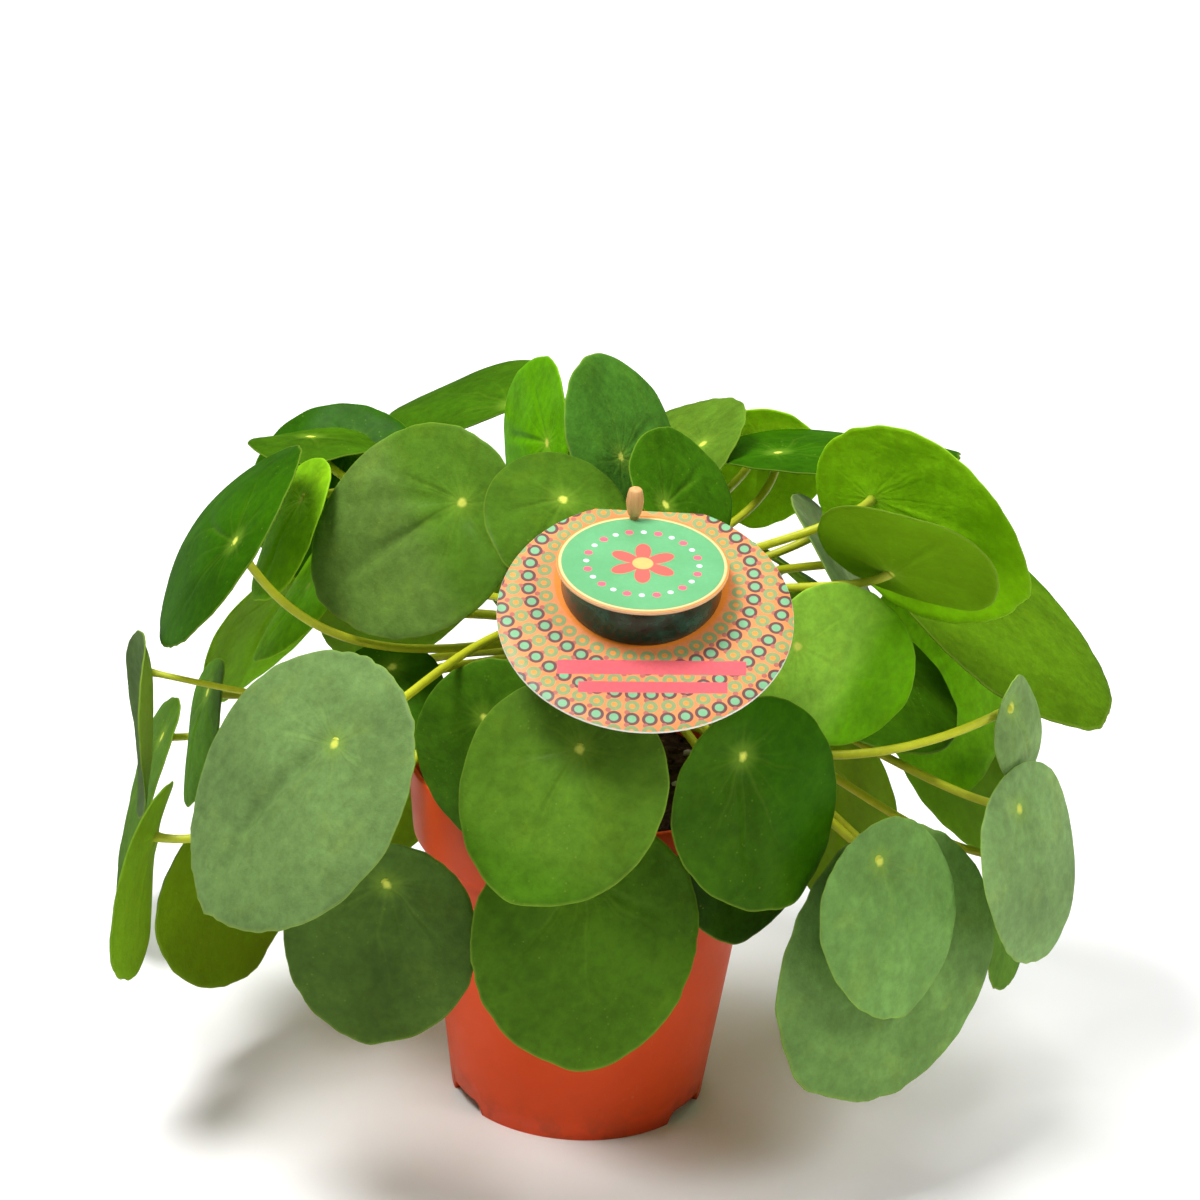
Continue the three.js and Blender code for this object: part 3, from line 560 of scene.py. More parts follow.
def pot_body(columns=240):
    """The pot, from the middle of its floor up its inner side, over the lip, down the band, the shoulder and
    the body to the foot, and back under the floor."""
    foot = notch_height(angles(columns))[None, :]
    step = np.linspace(0, 1, 12)[:, None]
    rest, arc = step[1:], step * np.pi
    wall, half_wall = POT_WALL, POT_WALL / 2
    lip_z = POT_HEIGHT - LIP_ROUND
    up, down = between(FLOOR_TOP, BODY_TOP, step), between(BODY_TOP, foot, step)
    shoulder = between(BODY_TOP_RADIUS, BAND_FOOT_RADIUS, smooth(step))
    rows = [
        (rest * (body_radius(FLOOR_TOP) - wall), FLOOR_TOP),
        (body_radius(up) - wall, up),
        (shoulder - wall, between(BODY_TOP, BAND_FOOT, step) + 1),
        (between(BAND_FOOT_RADIUS, LIP_RADIUS, rest) - wall, between(BAND_FOOT + 1, lip_z, rest)),
        (LIP_RADIUS - half_wall - half_wall * np.cos(arc), lip_z + LIP_ROUND * np.sin(arc)),
        (between(LIP_RADIUS, BAND_FOOT_RADIUS, rest), between(lip_z, BAND_FOOT, rest)),
        (between(BAND_FOOT_RADIUS, BODY_TOP_RADIUS, smooth(rest)), between(BAND_FOOT, BODY_TOP, rest)),
        (body_radius(down), down),
        (body_radius(foot) - FOOT_ROUND, foot),
        (body_radius(foot) - wall, foot),
        (body_radius(foot) - wall, between(foot, FLOOR_UNDERSIDE, step)),
        (between(body_radius(FLOOR_UNDERSIDE) - wall, FOOT_ROUND, rest), FLOOR_UNDERSIDE),
    ]
    full = [np.broadcast_arrays(*row, np.zeros((1, columns))) for row in rows]
    return turned(np.vstack([row[0] for row in full]), np.vstack([row[1] for row in full]), columns)


def drain_cutter():
    """The drainage holes as short rods through the floor."""
    ends = np.outer([FLOOR_UNDERSIDE - 2, FLOOR_TOP + 2], (0, 0, 1))
    rods = []
    for bearing in angles(DRAIN_COUNT):
        foot = DRAIN_RING_RADIUS * np.array([np.cos(bearing), np.sin(bearing), 0])
        rods.append(tube(foot + ends, np.full(2, DRAIN_RADIUS), 32))
    return joined(rods)


def soil_body(columns=200, rows=64):
    """The soil: a lumpy top made of several sizes of uneven height, lower at the pot's wall, then down the
    tapered wall to the floor."""
    edge = SOIL_RADIUS
    share = np.linspace(0, 1, rows + 1)[1:, None]
    around = angles(columns)
    x, y = edge * share * np.cos(around), edge * share * np.sin(around)
    lumps = sum(high * uneven(x, y, *kind) for high, *kind in SOIL_LUMPS)
    top = SOIL_TOP + lumps - SOIL_SINK * smooth(share, 0.9, 1) + 0 * x
    side = [
        (edge - 0.4, BAND_FOOT + 1.5),
        (body_radius(BODY_TOP) - POT_WALL - SOIL_GAP, BODY_TOP + 1),
        (body_radius(FLOOR_TOP) - POT_WALL - SOIL_GAP - 0.2, FLOOR_TOP + SOIL_GAP),
        (1, FLOOR_TOP + SOIL_GAP),
    ]
    radius = np.vstack([edge * share + 0 * x] + [np.full((1, columns), r) for r, _ in side])
    height = np.vstack([top] + [np.full((1, columns), z) for _, z in side])
    return turned(radius, height, columns)


def crumb_bodies(count=260):
    """Crumbs of soil and a few pale grains: small uneven balls at seeded places on the soil, off its middle."""
    draw = np.random.default_rng(CRUMB_SEED)
    crumbs, pale = [], []
    around = angles(CRUMB_SIDES)
    latitude = np.linspace(0, np.pi, CRUMB_ROWS + 2)[1:-1, None]
    x, y = np.sin(latitude) * np.cos(around), np.sin(latitude) * np.sin(around)
    z = np.cos(latitude) + 0 * x
    for k in range(count):
        reach, bearing = CRUMB_REACH * np.sqrt(draw.uniform(0.03, 1)), draw.uniform(0, 2 * np.pi)
        size = draw.uniform(*CRUMB_SIZES)
        bump = size * (1 + 0.3 * draw.uniform(-1, 1, x.shape))
        flat = draw.uniform(0.6, 0.9)
        ball = np.stack([bump * x, bump * y, flat * bump * z], axis=2)
        centre = np.array([reach * np.cos(bearing), reach * np.sin(bearing), SOIL_TOP + 0.2 * size])
        crumbs.append(closed_body(centre + (0, 0, flat * size), centre + ball, centre - (0, 0, flat * size)))
        pale.append(np.full(len(crumbs[-1][0]), float(k % PALE_CRUMBS == 0)))
    return joined(crumbs), np.concatenate(pale)


# ---------------- label shapes
def tilted(points, slope, centre):
    """Points turned about +X by a slope, so that +Y rises, and moved to a centre."""
    s = np.radians(slope)
    turn = np.array([[1, 0, 0], [0, np.cos(s), -np.sin(s)], [0, np.sin(s), np.cos(s)]])
    return points @ turn.T + centre


def disc_body(outline, thickness, slope, centre, bevel=0.12):
    """A flat disc under its upper face: rings of the outline's shape, with a small bevel round both edges."""
    inset = bevel / np.abs(outline).max()
    above, below = np.linspace(0.1, 1, 10) - inset, np.linspace(1, 0.1, 6) - inset
    share = np.concatenate([above, [1, 1], below])[:, None, None]
    height = np.concatenate([above * 0, [-bevel, bevel - thickness], below * 0 - thickness])[:, None, None]
    printed = np.concatenate([above * 0 + 1, [0, 0], below * 0])
    flat = np.concatenate([share * outline, height + 0 * outline[:, :1]], axis=2)
    ends = np.array([[0, 0, 0], [0, 0, -thickness]])
    first, rings, last = (tilted(points, slope, centre) for points in (ends[0], flat, ends[1]))
    uv = np.vstack([[0, 0], flat[:, :, :2].reshape(-1, 2), [0, 0]])
    return closed_body(first, rings, last), uv, np.concatenate([[1], np.repeat(printed, len(outline)), [0]])


def round_outline(radius, columns=180, flat=None):
    """A circle, cut straight at the back by a line at +Y = flat."""
    around = angles(columns)
    outline = radius * np.stack([np.cos(around), np.sin(around)], axis=1)
    if flat is not None:
        outline[:, 1] = np.minimum(outline[:, 1], flat)
    return outline


def block_body(columns=160):
    """The wedge between card and lid: walls square to the card, cut off by the lid's plane."""
    card_up, lid_up = (tilted(np.array([0, 0, 1.0]), slope, 0) for slope in (CARD_SLOPE, LID_SLOPE))
    lid_point = np.array(LID_CENTRE) - lid_up * (LID_THICKNESS + CLEAR)
    card_point = np.array(CARD_CENTRE) + card_up * CLEAR
    foot = lid_point - card_up * (card_up @ (lid_point - card_point))
    circle = np.hstack([round_outline(BLOCK_RADIUS, columns), np.zeros((columns, 1))])
    ring = tilted(circle, CARD_SLOPE, foot)
    tall = ((lid_point - ring) @ lid_up / (card_up @ lid_up))[:, None]
    middle = (lid_point - foot) @ lid_up / (card_up @ lid_up)
    inner, inset = between(foot, ring, 0.5), between(foot, ring, 0.99)
    rows = [inner + card_up * (tall + middle) / 2, inset + card_up * tall]
    rows += [ring + card_up * (tall * share) for share in np.linspace(0.97, 0.03, 8)]
    return closed_body(foot + card_up * middle, np.array(rows + [inset, inner]), foot)


def peg_body(columns=40):
    """The peg: a barrel-shaped head, a thin neck through the label and a pointed shank."""
    low, high = PEG_HEAD
    profile = [
        (0.9, high), (1.75, high - 0.05), (2.05, high - 0.4), (2.45, high - 2), (2.75, (low + high) / 2),
        (2.45, low + 2), (2.1, low + 0.4), (1.9, low), (1.4, low - 0.05), (1.4, -6), (1.9, -6.1), (2.0, -6.6),
        (2.0, high - PEG_LENGTH + 8), (1.2, high - PEG_LENGTH + 3), (0.3, high - PEG_LENGTH),
    ]
    points, triangles, quads = turned(*np.array(profile).T, columns)
    return tilted(points, PEG_LEAN, PEG_THROUGH), triangles, quads


# ---------------- shading code
class Value:
    """An output of a node. Arithmetic on it adds Math nodes to the same tree."""

    def __init__(self, nodes, socket):
        self.nodes, self.socket = nodes, socket

    def __add__(self, other):
        return self.nodes.math("ADD", self, other)

    def __sub__(self, other):
        return self.nodes.math("SUBTRACT", self, other)

    def __mul__(self, other):
        return self.nodes.math("MULTIPLY", self, other)

    def __truediv__(self, other):
        return self.nodes.math("DIVIDE", self, other)

    def __abs__(self):
        return self.nodes.math("ABSOLUTE", self)


class Nodes:
    """Adds nodes to a tree and joins them. What is given for an input is a Value, a number or a colour."""

    def __init__(self, tree):
        self.tree = tree

    def put(self, socket, value):
        if isinstance(value, Value):
            self.tree.links.new(value.socket, socket)
        else:
            socket.default_value = value

    def add(self, kind, inputs=None, **settings):
        node = self.tree.nodes.new(kind)
        for key, value in settings.items():
            setattr(node, key, value)
        for key, value in (inputs or {}).items():
            self.put(node.inputs[key], value)
        return node

    def out(self, kind, inputs=None, output=0, **settings):
        return Value(self, self.add(kind, inputs, **settings).outputs[output])

    def math(self, operation, *values):
        return self.out("ShaderNodeMath", dict(enumerate(values)), operation=operation)

    def length(self, x, y):
        return self.math("SQRT", x * x + y * y)

    def polar(self, x, y):
        """Radius and angle, in turns."""
        return self.length(x, y), self.math("ARCTAN2", y, x) / (2 * np.pi)

    def span(self, value, low, high, to_low=0.0, to_high=1.0):
        """A value taken smoothly from one range to another."""
        inputs = {"Value": value, "From Min": low, "From Max": high, "To Min": to_low, "To Max": to_high}
        return self.out("ShaderNodeMapRange", inputs, interpolation_type="SMOOTHSTEP")

    def below(self, value, low, high):
        """1 up to low and 0 from high up."""
        return self.span(value, low, high, 1.0, 0.0)

    def mix(self, factor, a, b, blend="MIX"):
        """Two colours mixed."""
        return self.out("ShaderNodeMix", {0: factor, 6: a, 7: b}, 2, data_type="RGBA", blend_type=blend)

    def product(self, a, b):
        return self.mix(1.0, a, b, "MULTIPLY")

    def tint(self, colour, value):
        """A colour multiplied by a grey value."""
        return self.product(colour, self.out("ShaderNodeCombineColor", {0: value, 1: value, 2: value}))

    def inked(self, colour, away, size, ink, soft=0.15):
        """A colour printed over by an ink where a distance is below a size, with a soft edge."""
        return self.mix(self.below(away, size, size + soft), colour, rgba(ink))

    def noise(self, vector, scale, detail=3.0, rough=0.55):
        inputs = {"Vector": vector, "Scale": scale, "Detail": detail, "Roughness": rough}
        return self.out("ShaderNodeTexNoise", inputs, "Fac")

    def streaks(self, vector, scale, detail=3.0):
        """Noise with a scale of its own along each axis."""
        stretched = self.out("ShaderNodeVectorMath", {0: vector, 1: scale}, operation="MULTIPLY")
        return self.noise(stretched, 1.0, detail)

    def cells(self, vector, scale, feature="F1"):
        return self.out("ShaderNodeTexVoronoi", {"Vector": vector, "Scale": scale}, "Distance", feature=feature)

    def attribute(self, name, output="Fac"):
        return self.out("ShaderNodeAttribute", None, output, attribute_name=name)

    def place(self):
        return self.out("ShaderNodeTexCoord", None, "Object")

    def bump(self, height, distance, strength=1.0):
        return self.out("ShaderNodeBump", {"Height": height, "Distance": distance, "Strength": strength})

    def shared(self, name, **inputs):
        """Places a group from GROUPS, built when it is first used, and gives its outputs by name."""
        tree = bpy.data.node_groups.get(name) or build_group(name, *GROUPS[name])
        node = self.add("ShaderNodeGroup", node_tree=tree)
        for key, value in inputs.items():
            self.put(node.inputs[key], value)
        return {socket.name: Value(self, socket) for socket in node.outputs}


def build_group(name, ins, make):
    """A shader node group: its inputs with their defaults, and the named outputs that make returns."""
    tree = bpy.data.node_groups.new(name, "ShaderNodeTree")
    for key, default in ins.items():
        tree.interface.new_socket(key, in_out="INPUT", socket_type="NodeSocketFloat").default_value = default
    n = Nodes(tree)
    given = n.add("NodeGroupInput").outputs
    outs = make(n, *(Value(n, given[key]) for key in ins))
    for key in outs:
        tree.interface.new_socket(key, in_out="OUTPUT", socket_type="NodeSocketFloat")
    n.add("NodeGroupOutput", outs)
    return tree


def flat_place(n):
    """Millimetres across a flat piece from its UV map, and the same as radius and angle in turns."""
    split = n.add("ShaderNodeSeparateXYZ", {0: n.out("ShaderNodeUVMap", uv_map="flat")}).outputs
    x, y = ((Value(n, split[k]) - 0.5) * UV_SPAN for k in (0, 1))
    radius, turn = n.polar(x, y)
    return {"X": x, "Y": y, "Radius": radius, "Turn": turn}


def mottling(n, scale, large, small):
    """Two sizes of soft patches round 1, to multiply a colour with: large and small are their depths."""
    place = n.place()
    wide = (n.noise(place, scale, 2) - 0.5) * (large * 4)
    fine = (n.noise(place, scale * 7, 4, 0.65) - 0.5) * (small * 4)
    return {"Value": wide + fine + 1.0}


def scuffs(n, amount):
    """Fine scratches and rubbed patches: a mask from 0 to 1."""
    place = n.place()
    marks = []
    for k, scale in enumerate(((900, 900, 60), (70, 900, 500), (240, 240, 240))):
        marks.append(n.span(n.streaks(place, scale, 2), 0.62 + 0.02 * k, 0.78))
    rubbed = n.span(n.noise(place, 24.0, 3), 0.5, 0.7)
    both = n.math("MAXIMUM", n.math("MAXIMUM", *marks[:2]), marks[2])
    return {"Mask": both * rubbed * amount}


GROUPS = {
    "flat place": ({}, flat_place),
    "mottling": ({"Scale": 40.0, "Large": 0.1, "Small": 0.06}, mottling),
    "scuffs": ({"Amount": 0.3}, scuffs),
}


def material(name, paint, **constants):
    """A material with one Principled shader: constants are values of its own sockets, and paint gives what
    its other sockets are joined to."""
    made = bpy.data.materials.new(name)
    made.use_nodes = True
    made.node_tree.nodes.clear()
    n = Nodes(made.node_tree)
    shader = n.add("ShaderNodeBsdfPrincipled")
    for key, value in {**constants, **paint(n)}.items():
        n.put(shader.inputs[key.replace("_", " ")], value)
    n.tree.links.new(shader.outputs[0], n.add("ShaderNodeOutputMaterial").inputs[0])
    return made


def leaf_paint(n):
    """A leaf: soft mottling and pale flecks, faint veins that radiate from the petiole and fade towards the
    edge, a yellow-green spot over the petiole and a thin pale margin. The lower side is lighter, partly its own
    paler colour and partly painted light shining through, and matt."""
    look = bpy.context.scene.money_plant_leaves
    flat = n.shared("flat place")
    radius, place = flat["Radius"], n.place()
    share, under = n.attribute("share"), n.attribute("under")
    tone = n.attribute("tone", "Color")
    patches = n.shared("mottling", Scale=30.0, Large=0.27, Small=0.12)["Value"]
    colour = n.tint(tone, patches)
    colour = n.tint(colour, n.span(n.noise(place, 260.0, 4, 0.7), 0.28, 0.72, 0.87, 1.13))
    yellow = n.span(n.noise(place, 75.0, 3, 0.6), 0.52, 0.72, 0.0, 0.3)
    colour = n.mix(yellow, colour, n.product(colour, (1.5, 1.25, 0.9, 1.0)))
    # veins: rays from the petiole, each bent a little by noise that grows with the radius, and a faint net
    bent = flat["Turn"] + (n.noise(place, 30.0, 2) - 0.5) * 0.12
    rays = []
    for count, width, reach in ((7, 1.1, 0.9), (16, 0.8, 0.7)):
        gap = abs(n.math("SINE", bent * (count * np.pi))) * radius * (2.0 / count)
        rays.append(n.below(gap, 0.0, width) * n.below(share, 0.1, reach))
    veins = n.math("MAXIMUM", rays[0], rays[1] * 0.6)
    net = n.below(n.cells(place, 160.0, "DISTANCE_TO_EDGE"), 0.0, 0.09) * 0.16
    lines = n.math("MAXIMUM", veins, net) * look.vein_strength
    colour = n.mix(lines, colour, n.mix(0.5, colour, rgba(0x9CBE3C)))
    fleck = n.below(n.cells(place, 380.0), 0.07, 0.17)
    fleck = fleck * n.span(n.noise(place, 55.0, 2), 0.48, 0.62, 0.0, 0.26)
    colour = n.mix(fleck, colour, rgba(0x8FA838))
    # painted light: the lower side is brightened and turned lime, standing in for light shining through the
    # leaf, over its own paler colour
    lit = n.product(colour, (1.5, 1.5, 1.0, 1.0))
    colour = n.mix(under, colour, n.mix(0.3, lit, rgba(0x98C41C)))
    colour = n.mix(n.span(share, 0.975, 0.995) * 0.26, colour, rgba(0x8FA63C))
    halo = n.below(radius, 1.2, look.halo_radius) * 0.25
    colour = n.mix(halo, colour, rgba(0x93B83A))
    ragged = radius + (n.noise(place, 500.0, 2) - 0.5) * 1.6
    spot = n.below(ragged, 0.6, look.spot_radius)
    colour = n.mix(spot, colour, (*look.spot_colour, 1.0))
    blue = n.out("ShaderNodeSeparateColor", {0: tone}, 2)
    height = n.noise(place, 420.0, 3) * 0.5 + n.noise(place, 130.0, 5, 0.62) * 4.0 - veins * 0.7
    return {
        "Base Color": colour,
        "Roughness": (patches - 1.0) * 0.5 + look.roughness + under * 0.16,
        "Coat Weight": n.span(blue, 0.03, 0.09, 0.09, 0.18),
        "Normal": n.bump(height, 0.0002),
    }


def stalk_paint(n):
    """A petiole: yellow-green, greener and darker at the stem, with fine streaks and a soft gloss."""
    along, place = n.attribute("along"), n.place()
    colour = n.mix(n.span(along, 0.0, 0.45), rgba(0x8C981A), rgba(0xBCC022))
    colour = n.mix(n.span(along, 0.9, 1.0), colour, rgba(0xBCC43C))
    return {
        "Base Color": n.tint(colour, n.shared("mottling", Scale=90.0, Large=0.12, Small=0.08)["Value"]),
        "Roughness": n.span(n.noise(place, 300.0), 0.3, 0.7, 0.34, 0.5),
        "Normal": n.bump(n.streaks(place, (700, 700, 120)), 0.0003, 0.6),
    }


def stem_paint(n):
    """The stem: brown-green bark with pale scars."""
    place = n.place()
    scars = n.span(n.streaks(place, (60, 60, 420)), 0.5, 0.62)
    colour = n.mix(scars, rgba(0x5C5A2C), rgba(0x9A8F63))
    colour = n.mix(n.span(n.noise(place, 150.0), 0.45, 0.7), colour, rgba(0x4A3B23))
    return {"Base Color": colour, "Normal": n.bump(n.noise(place, 500.0, 5), 0.0006)}


def pot_paint(n):
    """Moulded plastic: orange-red with soft uneven colour, faint rings from the mould, scuffs, and a dusting of
    soil at the foot and in the notches."""
    look = bpy.context.scene.money_plant_pot
    place = n.place()
    uneven_colour = n.shared("mottling", Scale=22.0, Large=0.05, Small=0.025)["Value"]
    scuffed = n.shared("scuffs", Amount=look.scuffs)["Mask"]
    colour = n.mix(scuffed, n.tint((*look.colour, 1.0), uneven_colour), rgba(0xD98A62))
    height = n.out("ShaderNodeSeparateXYZ", {0: place}, 2)
    dust = n.below(height, 0.001, 0.016) * n.span(n.noise(place, 130.0, 4), 0.46, 0.62)
    grit = n.below(n.cells(place, 330.0), 0.08, 0.16) * n.span(n.noise(place, 60.0), 0.56, 0.66)
    dirt = n.math("MAXIMUM", dust, grit * 0.8) * 0.25
    rings = n.streaks(place, (2, 2, 520), 2) * 0.6
    return {
        "Base Color": n.mix(dirt, colour, rgba(0x6B4A33)),
        "Roughness": n.span(n.noise(place, 60.0), 0.3, 0.7, 0.4, 0.5) + scuffed * 0.35 + dirt * 0.4,
        "Normal": n.bump(rings + n.noise(place, 700.0) * 0.35, 0.0001, 0.5),
    }


def soil_paint(n):
    """Potting soil: dark brown crumbs with fibres, and pale grains where the pale attribute says so."""
    place = n.place()
    colour = n.mix(n.span(n.noise(place, 180.0, 5), 0.35, 0.65), rgba(0x2A1C12), rgba(0x4F3826))
    fibre = n.span(n.streaks(place, (160, 900, 500), 2), 0.66, 0.72) * 0.6
    colour = n.mix(fibre, colour, rgba(0x8A6B45))
    height = n.cells(place, 260.0) * -0.8 + n.noise(place, 900.0, 4)
    return {
        "Base Color": n.mix(n.attribute("pale"), colour, rgba(0xC9C0AC)),
        "Normal": n.bump(height, 0.0012),
    }


def dot_row(n, radius, turn, at, count, phase):
    """Distance to the nearest of so many points on a circle, the first at a phase of their gap."""
    step = n.math("FRACT", turn * count + (phase + 40.0))
    return n.length((step - 0.5) * (2 * np.pi * at / count), radius - at)


def printed_paper(n, colour, board, strength, roughness):
    """Print on card with the paper's fibres, and plain board where the printed attribute is 0."""
    fibres = n.noise(n.place(), 900.0, 3)
    colour = n.tint(colour, n.span(fibres, 0.3, 0.7, *strength))
    return {
        "Base Color": n.mix(n.attribute("printed"), rgba(board), colour),
        "Roughness": n.span(fibres, 0.3, 0.7, *roughness),
        "Normal": n.bump(fibres, 0.00006, 0.5),
    }


def card_paint(n):
    """Printed card: an orange ground with rows of dots and small rings on circles round the block, an orange
    band round the block's foot, and plain unprinted board at the cut edge and below."""
    look = bpy.context.scene.money_plant_label
    flat = n.shared("flat place")
    radius, turn = n.polar(flat["X"] - look.circles_x, flat["Y"] - look.circles_y)
    colour = n.mix(n.span(n.noise(n.place(), 60.0), 0.3, 0.7), rgba(0xE48A50), rgba(0xE8935C))
    for k in range(CARD_ROWS):
        at = CARD_FIRST_ROW + CARD_ROW_STEP * k
        count = 3 * round(2 * np.pi * at / CARD_DOT_GAP / 3)
        away = dot_row(n, radius, turn, at, count, 0.5 * (k % 2))
        for size, ink in CARD_RINGS[k % 2]:
            colour = n.inked(colour, away, size, ink)
        near = dot_row(n, radius, turn, at + CARD_ROW_STEP / 2, count, 0.25 + 0.5 * (k % 2))
        colour = n.inked(colour, near, 0.75, 0xB4685A)
    colour = n.inked(colour, abs(radius - (BLOCK_RADIUS + 0.9)), 1.0, 0xF08A2C, 0.25)
    for middle, half_length, half_width in STRIPS:
        across = abs(flat["Y"] - flat["X"] * STRIP_LEAN - middle[1])
        along = abs(flat["X"] - middle[0])
        past = n.math("MAXIMUM", across - half_width, along - half_length)
        colour = n.inked(colour, past, -0.12, 0xDC5C64, 0.24)
    return printed_paper(n, colour, 0xE9E4DA, (0.95, 1.04), (0.42, 0.55))


def lid_paint(n):
    """Printed card: mint with a thin orange edge, a coral flower and a ring of small dots."""
    flat = n.shared("flat place")
    radius, turn = flat["Radius"], flat["Turn"]
    colour = n.mix(n.span(n.noise(n.place(), 60.0), 0.3, 0.7), rgba(0x60A56E), rgba(0x68AD76))
    petals = abs(n.math("SINE", turn * (6 * np.pi))) * 7.0 + 3.6
    colour = n.inked(colour, radius - petals, -0.25, 0xDE6258, 0.5)
    colour = n.inked(colour, radius, 3.0, 0xF4B36A, 0.3)
    for size, phase, ink in ((1.2, 0.0, 0xEC6878), (0.8, 0.5, 0xDCEFE0)):
        colour = n.inked(colour, dot_row(n, radius, turn, 17.0, 12, phase), size, ink, 0.2)
    colour = n.mix(n.span(radius, 24.4, 24.7), colour, rgba(0xEFC58C))
    colour = n.mix(n.span(radius, 25.3, 25.5), colour, rgba(0xE98B3E))
    return printed_paper(n, colour, 0xE7B98A, (0.96, 1.03), (0.4, 0.52))


def block_paint(n):
    """The dark glossy block, with faint smudges."""
    smudge = n.noise(n.place(), 90.0, 4)
    return {
        "Base Color": n.mix(n.span(smudge, 0.4, 0.7), rgba(0x0A2219), rgba(0x1C5444)),
        "Roughness": n.span(smudge, 0.3, 0.7, 0.14, 0.3),
    }


def wood_paint(n):
    """Bare turned wood: long fine grain along the peg and small dark pores."""
    place = n.place()
    grain = n.streaks(place, (1100, 1100, 60), 4)
    colour = n.mix(n.span(grain, 0.3, 0.7), rgba(0xCB9259), rgba(0xDDAC72))
    pores = n.span(n.streaks(place, (2600, 2600, 160), 2), 0.62, 0.7) * 0.2
    return {"Base Color": n.mix(pores, colour, rgba(0x9A6A3A)), "Normal": n.bump(grain, 0.00006, 0.6)}


def floor_paint(n):
    """A pale floor with a faint cloudiness."""
    return {"Base Color": n.mix(n.noise(n.place(), 1.2, 2), rgba(0xF8F8F7), rgba(0xFCFCFB))}


# ---------------- settings
class MoneyPlantPot(bpy.types.PropertyGroup):
    """What a user would change on the pot and the soil."""

    colour: FloatVectorProperty(
        name="Colour", description="Colour of the pot's plastic", subtype="COLOR", min=0, max=1,
        default=tuple(linear(0xE24C18)),
    )
    scuffs: FloatProperty(name="Scuffs", description="How worn the plastic looks", default=0.35, min=0, max=1)
    columns: IntProperty(name="Sides", description="Faces round the pot", default=240, min=60, max=480)
    crumbs: IntProperty(name="Crumbs", description="Loose crumbs on the soil", default=260, min=0, max=600)


class MoneyPlantLeaves(bpy.types.PropertyGroup):
    """What a user would change on the leaves."""

    rings: IntProperty(
        name="Rings", description="Rings of faces from the petiole to the edge", default=20, min=4, max=40
    )
    spokes: IntProperty(name="Spokes", description="Faces round the edge", default=120, min=16, max=200)
    lumps: FloatProperty(
        name="Lumps", description="Height of the blade's lumps, in millimetres", default=0.75, min=0, max=3
    )
    lump_size: FloatProperty(
        name="Lump size", description="Width of the lumps, in millimetres", default=20, min=5, max=80
    )
    scallop: FloatProperty(
        name="Uneven edge", description="How far the edge wanders, as a share of the radius", default=0.01,
        min=0, max=0.05,
    )
    roughness: FloatProperty(
        name="Roughness", description="Roughness of the upper side", default=0.4, min=0, max=1
    )
    vein_strength: FloatProperty(
        name="Veins", description="How clearly the veins show", default=0.13, min=0, max=1
    )
    vein_depth: FloatProperty(
        name="Vein depth", description="How deep the veins are pressed in", default=1.0, min=0, max=4
    )
    spot_radius: FloatProperty(
        name="Spot radius", description="Radius of the spot over the petiole, in millimetres", default=2.0
    )
    halo_radius: FloatProperty(
        name="Halo radius", description="Radius of the paler skin round the spot, in millimetres", default=7.0
    )
    spot_colour: FloatVectorProperty(
        name="Spot", description="Colour of the spot over the petiole", subtype="COLOR", min=0, max=1,
        default=tuple(linear(0xCFD75A)),
    )


class MoneyPlantLabel(bpy.types.PropertyGroup):
    """What a user would change on the label."""

    circles_x: FloatProperty(
        name="Circles X", description="Middle of the card's circles, in millimetres", default=-1.5
    )
    circles_y: FloatProperty(
        name="Circles Y", description="Middle of the card's circles, in millimetres", default=13.0
    )


class MoneyPlantStage(bpy.types.PropertyGroup):
    """What a user would change on the camera and the lights."""

    camera_place: FloatVectorProperty(
        name="Camera", description="Place of the camera", subtype="TRANSLATION", unit="LENGTH",
        default=(0.0, -1.042, 0.594),
    )
    camera_pitch: FloatProperty(
        name="Pitch", description="Camera's angle below level, in degrees", default=21.9
    )
    camera_roll: FloatProperty(name="Roll", description="Camera's roll, in degrees", default=2.8)
    lens: FloatProperty(
        name="Lens", description="Focal length for a 36 mm sensor, in millimetres", default=104.5
    )
    key_power: FloatProperty(name="Key light", description="Power of the main light, in watts", default=24.0)
    fill_power: FloatProperty(
        name="Fill light", description="Power of the second light, in watts", default=9.0
    )
    back_power: FloatProperty(
        name="Back light", description="Power of the light on the floor behind, in watts", default=30.0
    )
    sky: FloatProperty(name="Sky", description="Strength of the even light from all round", default=0.22)


# ---------------- operators
class MONEYPLANT_OT_pot(bpy.types.Operator):
    """Builds the nursery pot with its notched foot and drainage holes"""

    bl_idname = "money_plant.pot"
    bl_label = "Pot"

    def execute(self, context):
        plastic = material("pot plastic", pot_paint, Specular_IOR_Level=0.2)
        body = pot_body(context.scene.money_plant_pot.columns)
        pot = add_piece("nursery_pot", body, plastic, "pot_plastic", ["pot"])
        points, triangles, quads = drain_cutter()
        mesh = bpy.data.meshes.new("drain cutter")
        faces = [face for part in (*triangles, *quads) for face in part.tolist()]
        mesh.from_pydata((points * MM).tolist(), [], faces)
        cutter = bpy.data.objects.new("drain cutter", mesh)
        context.scene.collection.objects.link(cutter)
        holes = pot.modifiers.new("drainage", "BOOLEAN")
        holes.object, holes.operation, holes.solver = cutter, "DIFFERENCE", "EXACT"
        cut = bpy.data.meshes.new_from_object(pot.evaluated_get(context.evaluated_depsgraph_get()))
        pot.modifiers.clear()
        pot.data = cut
        bpy.data.objects.remove(cutter)
        return {"FINISHED"}


